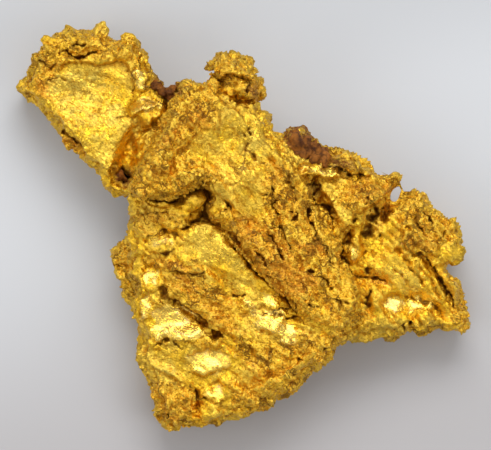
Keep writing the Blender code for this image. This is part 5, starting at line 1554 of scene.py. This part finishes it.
def lay_floor(settings):
    """A pale floor with painted shade: a little darker and warmer near the camera's lower edge, and a little darker far
    from it.
    """
    bpy.ops.object.select_all(action="DESELECT")
    bpy.ops.mesh.primitive_plane_add(size=FLOOR_SIZE, location=(0.0, 0.0, 0.0))
    floor = bpy.context.object
    floor.name = "floor"
    paint, graph, shader = new_material("Pale floor")
    split = graph.node("ShaderNodeSeparateXYZ", None, Vector=graph.millimetres())
    across = graph.add(split.outputs["Y"], graph.times(split.outputs["X"], FLOOR_LEAN))
    # Painted shade: the floor darker and warmer towards the frame's foot, and darker far up it.
    near = colour_of([share * value for share, value in zip(NEAR_SHADE, settings.floor)])
    far = colour_of([FAR_SHADE * value for value in settings.floor])
    sweep = graph.mix(graph.ramp(across, *NEAR_FADE), near, colour_of(settings.floor))
    graph.put(shader.inputs["Base Color"], graph.mix(graph.ramp(across, *FAR_FADE), sweep, far))
    shader.inputs["Roughness"].default_value = 0.9
    shader.inputs["Specular IOR Level"].default_value = 0.2
    floor.data.materials.append(paint)


def area_light(name, at, size, power, colour=(1.0, 1.0, 1.0)):
    """A softbox that faces the nugget."""
    light = bpy.data.lights.new(name, "AREA")
    light.shape, light.size, light.size_y = "RECTANGLE", *size
    light.energy, light.color = power, colour
    obj = linked(name, light)
    obj.location = at
    obj.rotation_euler = (-Vector(at)).to_track_quat("-Z", "Y").to_euler()
    obj.visible_camera = False


def set_light(settings):
    world = bpy.data.worlds.new("Studio")
    bpy.context.scene.world = world
    world.use_nodes = True
    graph = Graph(world.node_tree)
    background = world.node_tree.nodes["Background"]
    where = graph.node("ShaderNodeTexCoord")
    split = graph.node("ShaderNodeSeparateXYZ", None, Vector=where.outputs["Generated"])
    graph.put(background.inputs["Color"], graph.mix(graph.ramp(split.outputs["Z"], -0.2, 1.0), WORLD_LOW, WORLD_HIGH))
    background.inputs["Strength"].default_value = settings.world
    area_light("key_softbox", (0.03, 0.30, 0.34), (0.34, 0.22), settings.key, (1.0, 0.995, 0.985))
    area_light("left_softbox", (-0.34, -0.06, 0.26), (0.22, 0.20), settings.fill)
    area_light("right_softbox", (0.34, -0.10, 0.26), (0.20, 0.20), 0.7 * settings.fill)


def place_camera(settings):
    """Looks straight down, from where the nugget fills the frame."""
    camera = bpy.data.cameras.new("camera")
    camera.lens = settings.lens
    camera.clip_start, camera.clip_end = 0.001, 10.0
    obj = linked("camera", camera)
    distance = FRAME_WIDTH * settings.lens / camera.sensor_width
    obj.location = (*FRAME_MIDDLE, FOCUS_HEIGHT + distance)
    bpy.context.scene.camera = obj
    bpy.context.scene.view_settings.view_transform = "Standard"


# ---- Add-on ----


class NUGGET_OT_gold(bpy.types.Operator):
    """Grow the gold's skin over its solid and give it its finish"""

    bl_idname = "nugget.gold"
    bl_label = "Gold"

    def execute(self, context):
        build_gold(context.scene.nugget_gold)
        return {"FINISHED"}


class NUGGET_OT_ironstone(bpy.types.Operator):
    """Roughen the ironstone grains and give them their finish"""

    bl_idname = "nugget.ironstone"
    bl_label = "Ironstone"

    def execute(self, context):
        settings = context.scene.nugget_ironstone
        material = ironstone_material(settings)
        for node in sorted(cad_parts):
            if node.startswith("ironstone"):
                build_ironstone(node, settings, material)
        return {"FINISHED"}


class NUGGET_OT_stage(bpy.types.Operator):
    """Lay the floor, set the light and place the camera"""

    bl_idname = "nugget.stage"
    bl_label = "Stage"

    def execute(self, context):
        settings = context.scene.nugget_stage
        lay_floor(settings)
        set_light(settings)
        place_camera(settings)
        return {"FINISHED"}


PARTS = (  # each operator, the name of its settings and their group
    (NUGGET_OT_gold, "nugget_gold", NUGGET_PG_gold),
    (NUGGET_OT_ironstone, "nugget_ironstone", NUGGET_PG_ironstone),
    (NUGGET_OT_stage, "nugget_stage", NUGGET_PG_stage),
)


class NUGGET_PT_panel(bpy.types.Panel):
    """Lists the nugget's operators and settings."""

    bl_label = "Gold Nugget"
    bl_idname = "NUGGET_PT_panel"
    bl_space_type = "VIEW_3D"
    bl_region_type = "UI"
    bl_category = "Nugget"

    def draw(self, context):
        for operator, name, _ in PARTS:
            box = self.layout.box()
            box.operator(operator.bl_idname)
            settings = getattr(context.scene, name)
            for setting in settings.__annotations__:
                box.prop(settings, setting)


CLASSES = (*(group for _, _, group in PARTS), *(operator for operator, _, _ in PARTS), NUGGET_PT_panel)


def register():
    for cls in CLASSES:
        bpy.utils.register_class(cls)
    for _, name, group in PARTS:
        setattr(bpy.types.Scene, name, bpy.props.PointerProperty(type=group))


def unregister():
    for _, name, _ in PARTS:
        delattr(bpy.types.Scene, name)
    for cls in reversed(CLASSES):
        bpy.utils.unregister_class(cls)


def main():
    register()
    bpy.ops.nugget.gold()
    bpy.ops.nugget.ironstone()
    bpy.ops.nugget.stage()


if __name__ == "__main__":
    main()
